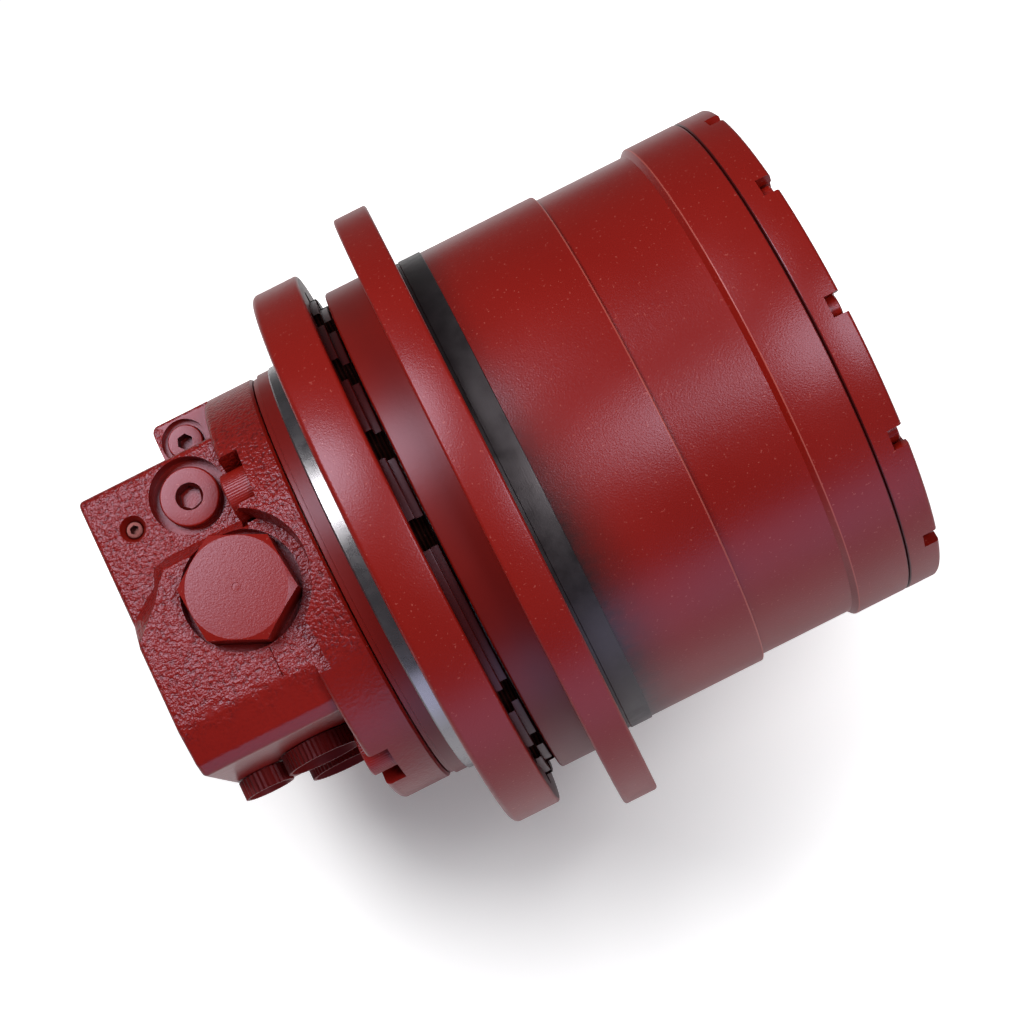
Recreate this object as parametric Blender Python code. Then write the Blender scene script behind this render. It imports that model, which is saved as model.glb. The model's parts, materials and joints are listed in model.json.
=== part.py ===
"""Excavator final drive: travel motor, frame flange, two planetary stages and a sprocket hub.

The axis of the drive is +X, from the motor towards the end cover. The origin lies on the axis, in the
plane of the face that bolts to the track frame. Up is +Z. All sizes are written in millimetres.
"""
import math

import bmesh
import bpy
from mathutils import Matrix, Vector

MM = 0.001

# Clearances
SEAT = 0.3
RUN = 0.5
BACKLASH = 0.3

# Smoothness of round pieces
BIG_STEPS = 36
RACE_STEPS = 24
RING_STEPS = 18
SMALL_STEPS = 12
HOLE_STEPS = 8

# Gears: both stages share one ring gear
MODULE = 4.5
PRESSURE_ANGLE = math.radians(25.0)
ADDENDUM = 0.75
DEDENDUM = 1.0
RING_TEETH = 42
SUN_TEETH = 12
PLANET_TEETH = 15
PLANETS = 3
FIRST_PLANET_AT = math.radians(90.0)
RING_WALL = 13.0
RING_GEAR_R = MODULE * (RING_TEETH / 2 + DEDENDUM) + RING_WALL
STAGE_TWO_WIDTH = 26.0
STAGE_ONE_WIDTH = 20.0
PLANET_BORE_R = 16.0
PIN_WALL_GAP = 0.8
PIN_R = PLANET_BORE_R - PIN_WALL_GAP
PIN_LONGER = 2.0
CARRIER_DISTANCE = MODULE * (SUN_TEETH + PLANET_TEETH) / 2
CARRIER_RIM = 4.0
CARRIER_R = CARRIER_DISTANCE + PIN_R + CARRIER_RIM
CARRIER_PLATE_T = 13.0
CARRIER_DISC_T = 10.0

# Hub and sprocket flange, outwards from the ring gear
HUB_GAP = 1.1
HUB_WALL = 12.8
DRUM_R = RING_GEAR_R + HUB_WALL
DRUM_LENGTH = 59.7
SPROCKET_PILOT_STEP = 0.7
SPROCKET_PILOT_R = DRUM_R + SPROCKET_PILOT_STEP
SPROCKET_PILOT_LENGTH = 13.0
SPROCKET_HOLE_R = 7.0
SPROCKET_HOLE_INSET = 15.5
SPROCKET_HOLE_PCR = SPROCKET_PILOT_R + SPROCKET_HOLE_INSET
SPROCKET_HOLES = 12
SPROCKET_RIM = 15.75
SPROCKET_FLANGE_R = SPROCKET_HOLE_PCR + SPROCKET_RIM
SPROCKET_FLANGE_T = 17.3
SPROCKET_EDGE = 1.5
HUB_NECK_LENGTH = 19.2
WAIST_DEPTH = 2.55
WAIST_R = DRUM_R - WAIST_DEPTH
WAIST_LENGTH = 47.3
BAND_STEP = 0.2
BAND_R = DRUM_R + BAND_STEP
BAND_LENGTH = 28.7
BAND_CHAMFER = 2.5
JOINT_CHAMFER = 1.0

# End cover
COVER_T = 16.0
COVER_EDGE = 2.0
COVER_SPIGOT_LENGTH = 8.0
COVER_RIM = 25.0
COVER_DISH_R = BAND_R - COVER_RIM
COVER_DISH_DEPTH = 1.5
COVER_SCREWS = 12
COVER_SCREW_START = 5.6
COVER_SCREW_INSET = 11.0
COVER_SCREW_PCR = BAND_R - COVER_SCREW_INSET
COVER_POCKET_R = 7.5
COVER_POCKET_DEPTH = 7.3
COVER_SLOT_WIDTH = 10.0
OIL_PLUG_INSET = 20.0
OIL_PLUG_PCR = COVER_DISH_R - OIL_PLUG_INSET
OIL_PLUG_R = 11.0
OIL_PLUG_FLANGE_R = 15.0
OIL_PLUG_FLANGE_T = 2.5
OIL_PLUG_HEX = 10.0
COVER_SEAL_WIDTH = 3.5
COVER_SEAL_DEPTH = 3.2

# Main bearings and the spindle's journal, inwards from the ring gear's seat
BEARING_SHOULDER = 4.0
BEARING_OUTER_R = RING_GEAR_R - BEARING_SHOULDER
BEARING_WIDTH = 24.0
BEARING_CUP = 8.0
BEARING_CONE = 7.2
BEARING_SLOPE = 1.5
ROLLERS = 12
ROLLER_R = 4.1
ROLLER_LENGTH = 17.0
ROLLER_PITCH_R = BEARING_OUTER_R - BEARING_CUP - ROLLER_R
CAGE_T = 2.4
JOURNAL_R = ROLLER_PITCH_R - ROLLER_R - BEARING_CONE - 2 * SEAT
BARREL_STEP = 6.0
BARREL_R = JOURNAL_R + BARREL_STEP
BARREL_END = 58.0
NUT_T = 10.0
NUT_HEIGHT = 9.0
NOSE_LENGTH = 1.2
NOSE_RIM = 12.0
NOSE_DEPTH = 12.0

# Floating face seal round the barrel
SEAL_HEIGHT = 22.0
SEAL_BORE_R = BARREL_R + SEAL_HEIGHT
SEAL_DEPTH = 10.0
SEAL_RING_T = 9.0
SEAL_RING_GAP = 3.0
TORIC_T = 9.4
LABYRINTH_GAP = 3.0
HUB_NECK_WALL = 15.5
HUB_NECK_R = SEAL_BORE_R + HUB_NECK_WALL

# Frame flange and its pilot, outwards from the seal bore
LIP_WALL = 10.0
LIP_R = SEAL_BORE_R + LIP_WALL
LIP_LENGTH = 3.7
SHOULDER_STEP = 5.5
SHOULDER_R = LIP_R + SHOULDER_STEP
SHOULDER_LENGTH = 3.0
FRAME_HOLE_R = 7.75
FRAME_HOLE_OFFSET = 3.0
FRAME_HOLE_PCR = LIP_R + FRAME_HOLE_OFFSET
FRAME_HOLE_PITCH = 20.0
FRAME_HOLE_START = 19.5
FRAME_HOLES_LEFT_OUT = (5, 14)
FRAME_RIM = 16.5
FRAME_FLANGE_R = FRAME_HOLE_PCR + FRAME_RIM
FRAME_FLANGE_T = 24.0
FRAME_EDGE = 3.0
PILOT_INSET = 17.0
PILOT_R = FRAME_HOLE_PCR - PILOT_INSET
PILOT_LENGTH = 8.6
NECK_STEP = 0.75
NECK_R = PILOT_R - NECK_STEP
NECK_LENGTH = 8.7

# Shaft, its bearings and seal
SHAFT_R = 14.0
SHAFT_TAIL_R = 12.0
SHAFT_BEARING_HEIGHT = 12.0
SHAFT_BEARING_R = SHAFT_R + SHAFT_BEARING_HEIGHT
SHAFT_BEARING_T = 13.4
TAIL_BEARING_HEIGHT = 8.0
TAIL_BEARING_R = SHAFT_TAIL_R + TAIL_BEARING_HEIGHT
TAIL_BEARING_T = 16.7
SHAFT_SEAL_HEIGHT = 4.0
SHAFT_SEAL_R = SHAFT_R + SHAFT_SEAL_HEIGHT
SHAFT_SEAL_T = 7.4
SUN_BORE_GAP = 2.5
SUN_BORE_R = SHAFT_R + SUN_BORE_GAP
THRUST_PAD_R = 15.0
THRUST_PAD_T = 9.4

# Travel motor, inwards from the neck
MOTOR_WALL = 41.25
MOTOR_BORE_R = NECK_R - MOTOR_WALL
MOTOR_BORE_END = 84.0
BRAKE_SHOULDER_X = 12.0
BRAKE_SHOULDER = 8.0
SWASH_BORE_R = MOTOR_BORE_R - BRAKE_SHOULDER
BRAKE_SPACE = 22.0
BARREL_BLOCK_R = MOTOR_BORE_R - BRAKE_SPACE
BARREL_BLOCK_LENGTH = 51.0
VALVE_PLATE_BORE_R = 20.0
VALVE_PLATE_T = 6.0
KIDNEY_WIDTH = 7.0
PISTONS = 9
PISTON_SIDES = 6
PISTON_R = 6.5
PISTON_INSET = 15.0
PISTON_PCR = BARREL_BLOCK_R - PISTON_INSET
PISTON_GAP = 0.6
PISTON_DEPTH = 36.0
PISTON_OUT = 17.0
RETAINER_INSET = 3.0
RETAINER_R = BARREL_BLOCK_R - RETAINER_INSET
RETAINER_T = 3.0
SWASH_ROOM = 12.0
SWASH_R = SWASH_BORE_R - SWASH_ROOM
SWASH_TILT = math.radians(14.0)
SWASH_MIDDLE_X = 70.0
SWASH_BORE = 20.0
DISC_T = 2.7
DISC_OUTER_R = SWASH_BORE_R - 2 * SEAT
SEPARATOR_GAP = 4.0
SEPARATOR_INNER_R = BARREL_BLOCK_R + SEPARATOR_GAP
BRAKE_PISTON_GAP = 6.0
BRAKE_PISTON_INNER_R = BARREL_BLOCK_R + BRAKE_PISTON_GAP
BRAKE_PISTON_T = 15.7
BRAKE_TRAVEL = 2.5
BRAKE_SPRING_T = 2.2

# Valve block
BLOCK_FLANGE_STEP = 0.25
BLOCK_FLANGE_R = NECK_R - BLOCK_FLANGE_STEP
BLOCK_FLANGE_T = 25.4
BLOCK_LEFT = -111.0
BLOCK_LOW_Y = -66.0
BLOCK_HIGH_Y = 74.0
BLOCK_FACE_Z = 76.5
BLOCK_BACK_Z = -78.0
BLOCK_CORNER = 4.5
PAD_Z = 87.5
PAD_LOW_Y = -44.4
PAD_TOP_EDGE = ((-87.9, 25.0), (-91.0, 19.2), (-96.8, 11.5), (-103.5, 5.0), (-111.0, -3.5))
PAD_FOOT_EDGE = ((-86.0, 31.5), (-91.5, 29.8), (-95.1, 21.9), (-104.2, 15.9), (-111.0, 9.4))
BEVEL_DROP = 7.5
RECESS_FLOOR_R = 32.8
RECESS_TOP_R = 35.6
RECESS_STRIP_X = -36.5
RECESS_STRIP_Y = -15.0
SIDE_BLOCK_LEFT = -71.0
SIDE_BLOCK_HIGH_Y = 100.2
SIDE_BLOCK_FACE_Z = 40.0
SIDE_BLOCK_BACK_Z = -24.0
BLOCK_SCREWS = 4
BLOCK_SCREW_START = 64.4
BLOCK_SCREW_INSET = 13.9
BLOCK_SCREW_PCR = NECK_R - BLOCK_SCREW_INSET
BLOCK_SCREW_R = 6.8
BLOCK_SCREW_HEAD_R = 10.5
BLOCK_SCREW_HEAD_T = 10.8
BLOCK_SCREW_SEAT_X = -33.5
BLOCK_SCREW_REACH = 34.0
BLOCK_SCREW_HEX = 12.0
BLOCK_POCKET_R = 14.4
BLOCK_SEAL_WALL = 4.0
BLOCK_SEAL_R = MOTOR_BORE_R + BLOCK_SEAL_WALL
BLOCK_SEAL_WIDTH = 4.0
BLOCK_SEAL_DEPTH = 3.0

# Counterbalance valve in the block
SPOOL_X = -58.5
SPOOL_Y = 0.4
SPOOL_R = 13.0
SPOOL_HALF_LENGTH = 38.0
SPOOL_WAIST_R = 8.5
SPOOL_BORE_R = 13.6
BIG_PLUG_HEX = 47.0
BIG_PLUG_TURN = math.radians(35.0)
BIG_PLUG_TOP = 98.0
BIG_PLUG_HEAD_T = 19.0
BIG_PLUG_SPOT_R = 27.9
BIG_PLUG_STEM_R = 19.0
BIG_PLUG_STEM = 14.0
SPRING_R = 9.0
SPRING_WIRE = 2.2
SPRING_TURNS = 3

# Small plugs and port caps
RELIEF_X = -63.4
RELIEF_Y = 53.2
RELIEF_R = 14.0
RELIEF_SPOT_R = 18.25
RELIEF_SPOT_DEPTH = 9.0
RELIEF_HEAD_T = 6.0
RELIEF_STEM_R = 10.0
RELIEF_STEM = 24.0
RELIEF_HEX = 12.0
SIDE_PLUG_X = -58.7
SIDE_PLUG_Y = 87.1
SIDE_PLUG_R = 8.5
SIDE_PLUG_SPOT_R = 11.0
SIDE_PLUG_SPOT_DEPTH = 4.0
SIDE_PLUG_HEX = 7.0
SIDE_PLUG_LENGTH = 16.0
GAUGE_X = -92.6
GAUGE_Y = 50.6
GAUGE_SPOT_R = 6.3
GAUGE_R = 4.0
GAUGE_SPOT_DEPTH = 3.0
GAUGE_LENGTH = 9.0
GAUGE_HEX = 4.0
CAP_LIP = 9.0
CAP_STEM = 12.0
CAP_STEM_SHARE = 0.66
CAP_RIBS = 14
CAP_RIB_DEPTH = 0.7
PORT_CAPS = (
    ("port_cap_main_upper", -65.0, 15.0, 19.5),
    ("port_cap_main_lower", -64.0, -47.0, 19.5),
    ("port_cap_pilot", -97.5, 2.0, 12.5),
)

# Places along the axis that follow from the lengths
JOINT_X = -PILOT_LENGTH - NECK_LENGTH
SHOULDER_X = FRAME_FLANGE_T + SHOULDER_LENGTH
LIP_X = SHOULDER_X + LIP_LENGTH
HUB_X = LIP_X + HUB_GAP
SPROCKET_X = HUB_X + HUB_NECK_LENGTH
SPROCKET_FACE_X = SPROCKET_X + SPROCKET_FLANGE_T
SPROCKET_PILOT_X = SPROCKET_FACE_X + SPROCKET_PILOT_LENGTH
WAIST_X = SPROCKET_PILOT_X + DRUM_LENGTH
BAND_X = WAIST_X + WAIST_LENGTH
HUB_END_X = BAND_X + BAND_LENGTH
COVER_X = HUB_END_X + SEAT
COVER_FACE_X = COVER_X + COVER_T
SPIGOT_X = HUB_END_X - COVER_SPIGOT_LENGTH
LEFT_BEARING_X = BARREL_END + SEAT
RIGHT_BEARING_X = LEFT_BEARING_X + BEARING_WIDTH + SEAT
NUT_X = RIGHT_BEARING_X + BEARING_WIDTH + SEAT
NOSE_X = NUT_X + NUT_T + NOSE_LENGTH
CARRIER_X = NOSE_X + SEAT
STAGE_TWO_X = CARRIER_X + CARRIER_PLATE_T + RUN
STAGE_TWO_END = STAGE_TWO_X + STAGE_TWO_WIDTH
CARRIER_DISC_X = STAGE_TWO_END + 2 * PIN_LONGER + RUN
STAGE_ONE_X = CARRIER_DISC_X + CARRIER_DISC_T + RUN
STAGE_ONE_END = STAGE_ONE_X + STAGE_ONE_WIDTH
RING_GEAR_X = STAGE_TWO_X - PIN_LONGER
RING_GEAR_END = STAGE_ONE_END + PIN_LONGER
SHAFT_END_X = SPIGOT_X - THRUST_PAD_T - 2 * SEAT
BLOCK_X = JOINT_X - SEAT
BLOCK_BODY_X = BLOCK_X - BLOCK_FLANGE_T

# Turns that lay a shape made along its own Z onto another axis
ALONG_X = Matrix(((0, 0, 1), (1, 0, 0), (0, 1, 0))).to_4x4()
ALONG_Z = Matrix.Identity(4)
DOWN_Y = Matrix(((1, 0, 0), (0, 0, -1), (0, 1, 0))).to_4x4()
DOWN_Z = Matrix(((1, 0, 0), (0, -1, 0), (0, 0, -1))).to_4x4()


def clear_scene():
    """Take away whatever the file holds."""
    for thing in list(bpy.data.objects):
        bpy.data.objects.remove(thing, do_unlink=True)


def finish(name, colour, metallic, roughness):
    """A plain surface with the colour of the real one."""
    surface = bpy.data.materials.new(name)
    surface.use_nodes = True
    shader = surface.node_tree.nodes["Principled BSDF"]
    shader.inputs["Base Color"].default_value = (*colour, 1.0)
    shader.inputs["Metallic"].default_value = metallic
    shader.inputs["Roughness"].default_value = roughness
    return surface


def along(angle, radius):
    """A point of the plane across the axis, as the two coordinates of a shape made along its own Z."""
    return (radius * math.cos(angle), radius * math.sin(angle))


def around_axis(angle, radius, x=0.0):
    """A place beside the drive axis, where angle 0 points along +Y and 90 degrees along +Z."""
    across, up = along(angle, radius)
    return Vector((x, across, up))


def spread(count, start=0.0):
    """Evenly spaced angles, in radians, from a first one in radians."""
    return [start + 2 * math.pi * number / count for number in range(count)]


def ring(radius, steps, turn=0.0):
    """A round outline with its first point at the turn."""
    return [along(angle, radius) for angle in spread(steps, turn)]


def hexagon(across_flats, turn=0.0):
    """The outline of a hexagon of this size across its flats."""
    return ring(across_flats / 2 / math.cos(math.pi / 6), 6, turn)


def new_piece(name, shape, surface, turn=ALONG_X, at=(0, 0, 0), parent=None):
    """Make an object from a shape in millimetres, laid along an axis at a place."""
    bmesh.ops.recalc_face_normals(shape, faces=shape.faces[:])
    bmesh.ops.scale(shape, vec=(MM, MM, MM), verts=shape.verts[:])
    mesh = bpy.data.meshes.new(name)
    shape.to_mesh(mesh)
    shape.free()
    mesh.shade_smooth()
    mesh.set_sharp_from_angle(angle=math.radians(35))
    piece = bpy.data.objects.new(name, mesh)
    bpy.context.scene.collection.objects.link(piece)
    place = Matrix.Translation(Vector(at) * MM) @ turn
    if parent is not None:
        piece.parent = parent
        place = Matrix.Translation(-axis_place(parent)) @ place
    piece.matrix_basis = place
    if surface is not None:
        mesh.materials.append(surface)
    return piece


def axis_place(empty):
    """Where an axis lies in the world, adding up the axes that carry it."""
    place = Vector(empty.location)
    while empty.parent is not None:
        empty = empty.parent
        place += empty.location
    return place


def axis(name, at=(0, 0, 0), parent=None):
    """An empty on the axis of a moving piece."""
    empty = bpy.data.objects.new(name, None)
    empty.empty_display_size = 0.02
    bpy.context.scene.collection.objects.link(empty)
    place = Vector(at) * MM
    if parent is not None:
        empty.parent = parent
        place -= axis_place(parent)
    empty.location = place
    return empty


def turned(profile, steps):
    """A turned shape from a closed profile of (place along the axis, radius)."""
    shape = bmesh.new()
    corners = [shape.verts.new((radius, 0, x)) for x, radius in profile]
    edges = [shape.edges.new((corners[i - 1], corners[i])) for i in range(len(corners))]
    bmesh.ops.spin(
        shape,
        geom=corners + edges,
        cent=(0, 0, 0),
        axis=(0, 0, 1),
        angle=2 * math.pi,
        steps=steps,
        use_merge=True,
    )
    bmesh.ops.remove_doubles(shape, verts=shape.verts[:], dist=0.001)
    flat = [face for face in shape.faces if face.calc_area() < 1e-9]
    bmesh.ops.delete(shape, geom=flat, context="FACES")
    lone = [edge for edge in shape.edges if not edge.link_faces]
    bmesh.ops.delete(shape, geom=lone, context="EDGES")
    return shape


def plate(outline, low, high, holes=()):
    """A flat shape with straight sides from an outline and the outlines of its holes."""
    shape = bmesh.new()
    edges = []
    for points in (outline, *holes):
        corners = [shape.verts.new((x, y, low)) for x, y in points]
        edges += [shape.edges.new((corners[i - 1], corners[i])) for i in range(len(corners))]
    bmesh.ops.triangle_fill(shape, edges=edges, use_beauty=True)
    lifted = bmesh.ops.extrude_face_region(shape, geom=shape.faces[:])
    moved = [part for part in lifted["geom"] if isinstance(part, bmesh.types.BMVert)]
    bmesh.ops.translate(shape, vec=(0, 0, high - low), verts=moved)
    return shape


def loft(foot, top, low, high):
    """A shape between two outlines that have the same number of points."""
    shape = bmesh.new()
    lower = [shape.verts.new((x, y, low)) for x, y in foot]
    upper = [shape.verts.new((x, y, high)) for x, y in top]
    shape.faces.new(lower)
    shape.faces.new(upper)
    for number in range(len(lower)):
        shape.faces.new((lower[number - 1], lower[number], upper[number], upper[number - 1]))
    bmesh.ops.triangulate(shape, faces=shape.faces[:])
    return shape


def together(shapes):
    """Several separate shapes as one mesh, to cut or add them in one go."""
    whole = bmesh.new()
    for shape in shapes:
        part = bpy.data.meshes.new("part")
        shape.to_mesh(part)
        shape.free()
        whole.from_mesh(part)
        bpy.data.meshes.remove(part)
    return whole


def moved(shape, x=0.0, y=0.0, z=0.0):
    """The same shape, shifted."""
    bmesh.ops.translate(shape, vec=(x, y, z), verts=shape.verts[:])
    return shape


def combine(piece, shape, operation, turn=ALONG_X, at=(0, 0, 0)):
    """Cut a shape out of a piece, or add it to the piece."""
    tool = new_piece(f"{piece.name}_{operation.lower()}", shape, None, turn, at)
    tool.hide_render = True
    tool.display_type = "WIRE"
    change = piece.modifiers.new(operation.title(), "BOOLEAN")
    change.operation = operation
    change.solver = "EXACT"
    change.object = tool
    return piece


def cut(piece, shape, turn=ALONG_X, at=(0, 0, 0)):
    """Take a shape out of a piece."""
    return combine(piece, shape, "DIFFERENCE", turn, at)


def add(piece, shape, turn=ALONG_X, at=(0, 0, 0)):
    """Join a shape to a piece as one solid."""
    return combine(piece, shape, "UNION", turn, at)


def flank_angle(radius, base):
    """The involute's polar angle at a radius; below the base circle the flank is radial."""
    if radius <= base:
        return 0.0
    roll = math.acos(base / radius)
    return math.tan(roll) - roll


def gear_outline(teeth, inner, outer, change, turn=0.0):
    """Involute teeth between two radii, with the tooth thickness at the pitch circle changed by a length."""
    pitch = MODULE * teeth / 2
    base = pitch * math.cos(PRESSURE_ANGLE)
    half = (math.pi * MODULE / 2 + change) / 2 / pitch + flank_angle(pitch, base)
    outline = []
    for middle in spread(teeth, turn):
        for radius in (inner, pitch, outer):
            outline.append(along(middle - half + flank_angle(radius, base), radius))
        for radius in (outer, pitch, inner):
            outline.append(along(middle + half - flank_angle(radius, base), radius))
    return outline


def outer_gear(teeth, turn):
    """The outline of a gear with teeth that point outwards."""
    pitch = MODULE * teeth / 2
    return gear_outline(teeth, pitch - DEDENDUM * MODULE, pitch + ADDENDUM * MODULE, -BACKLASH, turn)


def planet_turn(angle):
    """How a planet at this angle is turned so that its teeth sit in the gaps of the ring gear."""
    return angle - (2 * math.pi / PLANET_TEETH) * (angle * RING_TEETH / (2 * math.pi) + 0.5)


def sun_turn(angle):
    """How a sun gear is turned so that its teeth sit in the gaps of the planet at this angle."""
    share = (angle + math.pi - planet_turn(angle)) * PLANET_TEETH / (2 * math.pi)
    return angle - (2 * math.pi / SUN_TEETH) * (0.5 - share)


def lathe(name, profile, surface, steps=RING_STEPS, parent=None, turn=ALONG_X, at=(0, 0, 0)):
    """A turned piece in one call."""
    return new_piece(name, turned(profile, steps), surface, turn, at, parent)


def square_ring(low, high, inner, outer):
    """The profile of a plain ring."""
    return ((low, inner), (low, outer), (high, outer), (high, inner))


def around(radius, steps):
    """The corner radius of a bore with flat facets that clears a shaft of this radius all round."""
    return (radius + SEAT) / math.cos(math.pi / steps)


def within(radius):
    """The corner radius of a piece that clears the flat facets of a big bore all round."""
    return radius * math.cos(math.pi / BIG_STEPS) - SEAT


def rod(low, high, radius):
    """The profile of a plain rod."""
    return ((low, 0), (low, radius), (high, radius), (high, 0))


def spindle_profile():
    """The fixed housing, from the motor bore round its outside to the nose and back through the middle."""
    edge = FRAME_EDGE * (1 - math.sqrt(0.5))
    bearing_x = MOTOR_BORE_END + SHAFT_BEARING_T + 2 * SEAT
    return (
        (JOINT_X, MOTOR_BORE_R),
        (JOINT_X, NECK_R),
        (-PILOT_LENGTH, NECK_R),
        (-PILOT_LENGTH, PILOT_R),
        (0, PILOT_R),
        (0, FRAME_FLANGE_R - FRAME_EDGE),
        (edge, FRAME_FLANGE_R - edge),
        (FRAME_EDGE, FRAME_FLANGE_R),
        (FRAME_FLANGE_T - FRAME_EDGE / 2, FRAME_FLANGE_R),
        (FRAME_FLANGE_T, FRAME_FLANGE_R - FRAME_EDGE / 2),
        (FRAME_FLANGE_T, SHOULDER_R),
        (SHOULDER_X, SHOULDER_R),
        (SHOULDER_X, LIP_R),
        (LIP_X, LIP_R),
        (LIP_X, SEAL_BORE_R),
        (LIP_X - SEAL_DEPTH, SEAL_BORE_R),
        (LIP_X - SEAL_DEPTH, BARREL_R),
        (BARREL_END, BARREL_R),
        (BARREL_END, JOURNAL_R),
        (NOSE_X, JOURNAL_R),
        (NOSE_X, JOURNAL_R - NOSE_RIM),
        (NOSE_X - NOSE_DEPTH, JOURNAL_R - NOSE_RIM),
        (NOSE_X - NOSE_DEPTH, SHAFT_SEAL_R),
        (bearing_x, SHAFT_SEAL_R),
        (bearing_x, SHAFT_BEARING_R),
        (MOTOR_BORE_END, SHAFT_BEARING_R),
        (MOTOR_BORE_END, SWASH_BORE_R),
        (BRAKE_SHOULDER_X, SWASH_BORE_R),
        (BRAKE_SHOULDER_X, MOTOR_BORE_R),
    )


def frame_hole_angles():
    """The threaded holes of the frame flange, less the places that have none."""
    count = round(360 / FRAME_HOLE_PITCH)
    kept = [number for number in range(count) if number not in FRAME_HOLES_LEFT_OUT]
    return [math.radians(FRAME_HOLE_START + FRAME_HOLE_PITCH * number) for number in kept]


def block_screw_angles():
    """The head screws of the valve block."""
    return spread(BLOCK_SCREWS, math.radians(BLOCK_SCREW_START))


def bolt_cutter(angles, circle, radius, low, high, sides=HOLE_STEPS):
    """Round cutters on a bolt circle."""
    shapes = []
    for angle in angles:
        across, up = along(angle, circle)
        shapes.append(moved(plate(ring(radius, sides, angle), low, high), across, up))
    return together(shapes)


def make_spindle(paint):
    """The fixed housing: frame flange, motor bore, bearing journal and nose."""
    piece = lathe("spindle_housing", spindle_profile(), paint, BIG_STEPS)
    cut(piece, bolt_cutter(frame_hole_angles(), FRAME_HOLE_PCR, FRAME_HOLE_R, -1, LIP_X + 1))
    screw_end = BLOCK_SCREW_SEAT_X + BLOCK_SCREW_REACH + 2 * SEAT
    screw_hole_r = around(BLOCK_SCREW_R, HOLE_STEPS)
    cut(piece, bolt_cutter(block_screw_angles(), BLOCK_SCREW_PCR, screw_hole_r, JOINT_X - 1, screw_end))
    return piece


def hub_profile():
    """The rotating housing, from its seal bore round its outside to the cover face and back inside."""
    return (
        (HUB_X, SEAL_BORE_R),
        (HUB_X, HUB_NECK_R),
        (SPROCKET_X, HUB_NECK_R),
        (SPROCKET_X, SPROCKET_FLANGE_R - SPROCKET_EDGE),
        (SPROCKET_X + SPROCKET_EDGE, SPROCKET_FLANGE_R),
        (SPROCKET_FACE_X - SPROCKET_EDGE, SPROCKET_FLANGE_R),
        (SPROCKET_FACE_X, SPROCKET_FLANGE_R - SPROCKET_EDGE),
        (SPROCKET_FACE_X, SPROCKET_PILOT_R),
        (SPROCKET_PILOT_X, SPROCKET_PILOT_R),
        (SPROCKET_PILOT_X, DRUM_R),
        (WAIST_X, DRUM_R),
        (WAIST_X, WAIST_R),
        (BAND_X, WAIST_R),
        (BAND_X + BAND_CHAMFER, BAND_R),
        (HUB_END_X - JOINT_CHAMFER, BAND_R),
        (HUB_END_X, BAND_R - JOINT_CHAMFER),
        (HUB_END_X, RING_GEAR_R),
        (RING_GEAR_X - SEAT, RING_GEAR_R),
        (RING_GEAR_X - SEAT, BEARING_OUTER_R),
        (BARREL_END, BEARING_OUTER_R),
        (BARREL_END, BARREL_R + LABYRINTH_GAP),
        (HUB_X + SEAL_DEPTH, BARREL_R + LABYRINTH_GAP),
        (HUB_X + SEAL_DEPTH, SEAL_BORE_R),
    )


def make_hub(paint, parent):
    """The rotating housing with the sprocket flange and its bolt holes."""
    piece = lathe("hub_housing", hub_profile(), paint, BIG_STEPS, parent)
    angles = spread(SPROCKET_HOLES, math.pi / SPROCKET_HOLES)
    cut(piece, bolt_cutter(angles, SPROCKET_HOLE_PCR, SPROCKET_HOLE_R, SPROCKET_X - 1, SPROCKET_FACE_X + 1))
    return piece


def cover_profile():
    """The end cover: a disc with a shallow dish outside and a grooved spigot that enters the hub."""
    spigot_r = RING_GEAR_R - SEAT
    groove_x = SPIGOT_X + COVER_SEAL_WIDTH / 2
    return (
        (SPIGOT_X, 0),
        (SPIGOT_X, spigot_r),
        (groove_x, spigot_r),
        (groove_x, spigot_r - COVER_SEAL_DEPTH),
        (groove_x + COVER_SEAL_WIDTH, spigot_r - COVER_SEAL_DEPTH),
        (groove_x + COVER_SEAL_WIDTH, spigot_r),
        (COVER_X, spigot_r),
        (COVER_X, BAND_R - JOINT_CHAMFER),
        (COVER_X + JOINT_CHAMFER, BAND_R),
        (COVER_FACE_X - COVER_EDGE, BAND_R),
        (COVER_FACE_X, BAND_R - COVER_EDGE),
        (COVER_FACE_X, COVER_DISH_R + COVER_DISH_DEPTH),
        (COVER_FACE_X - COVER_DISH_DEPTH, COVER_DISH_R),
        (COVER_FACE_X - COVER_DISH_DEPTH, 0),
    )


def screw_pocket(angle, circle, radius, width, rim, low, high):
    """A round pocket for a screw head, opened to the rim by a slot."""
    half = width / 2
    opening = math.asin(half / radius)
    across = Vector((-math.sin(angle), math.cos(angle)))
    outward = Vector((math.cos(angle), math.sin(angle)))
    middle = outward * circle
    sides = 5
    first = angle + opening
    sweep = 2 * (math.pi - opening)
    outline = []
    for number in range(sides + 1):
        x, y = along(first + sweep * number / sides, radius)
        outline.append((middle.x + x, middle.y + y))
    for side in (-half, half):
        corner = outward * (rim + half) + across * side
        outline.append((corner.x, corner.y))
    return plate(outline, low, high)


def oil_plug_angles():
    """Two oil plugs, opposite each other."""
    return spread(2, math.radians(90))


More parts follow.
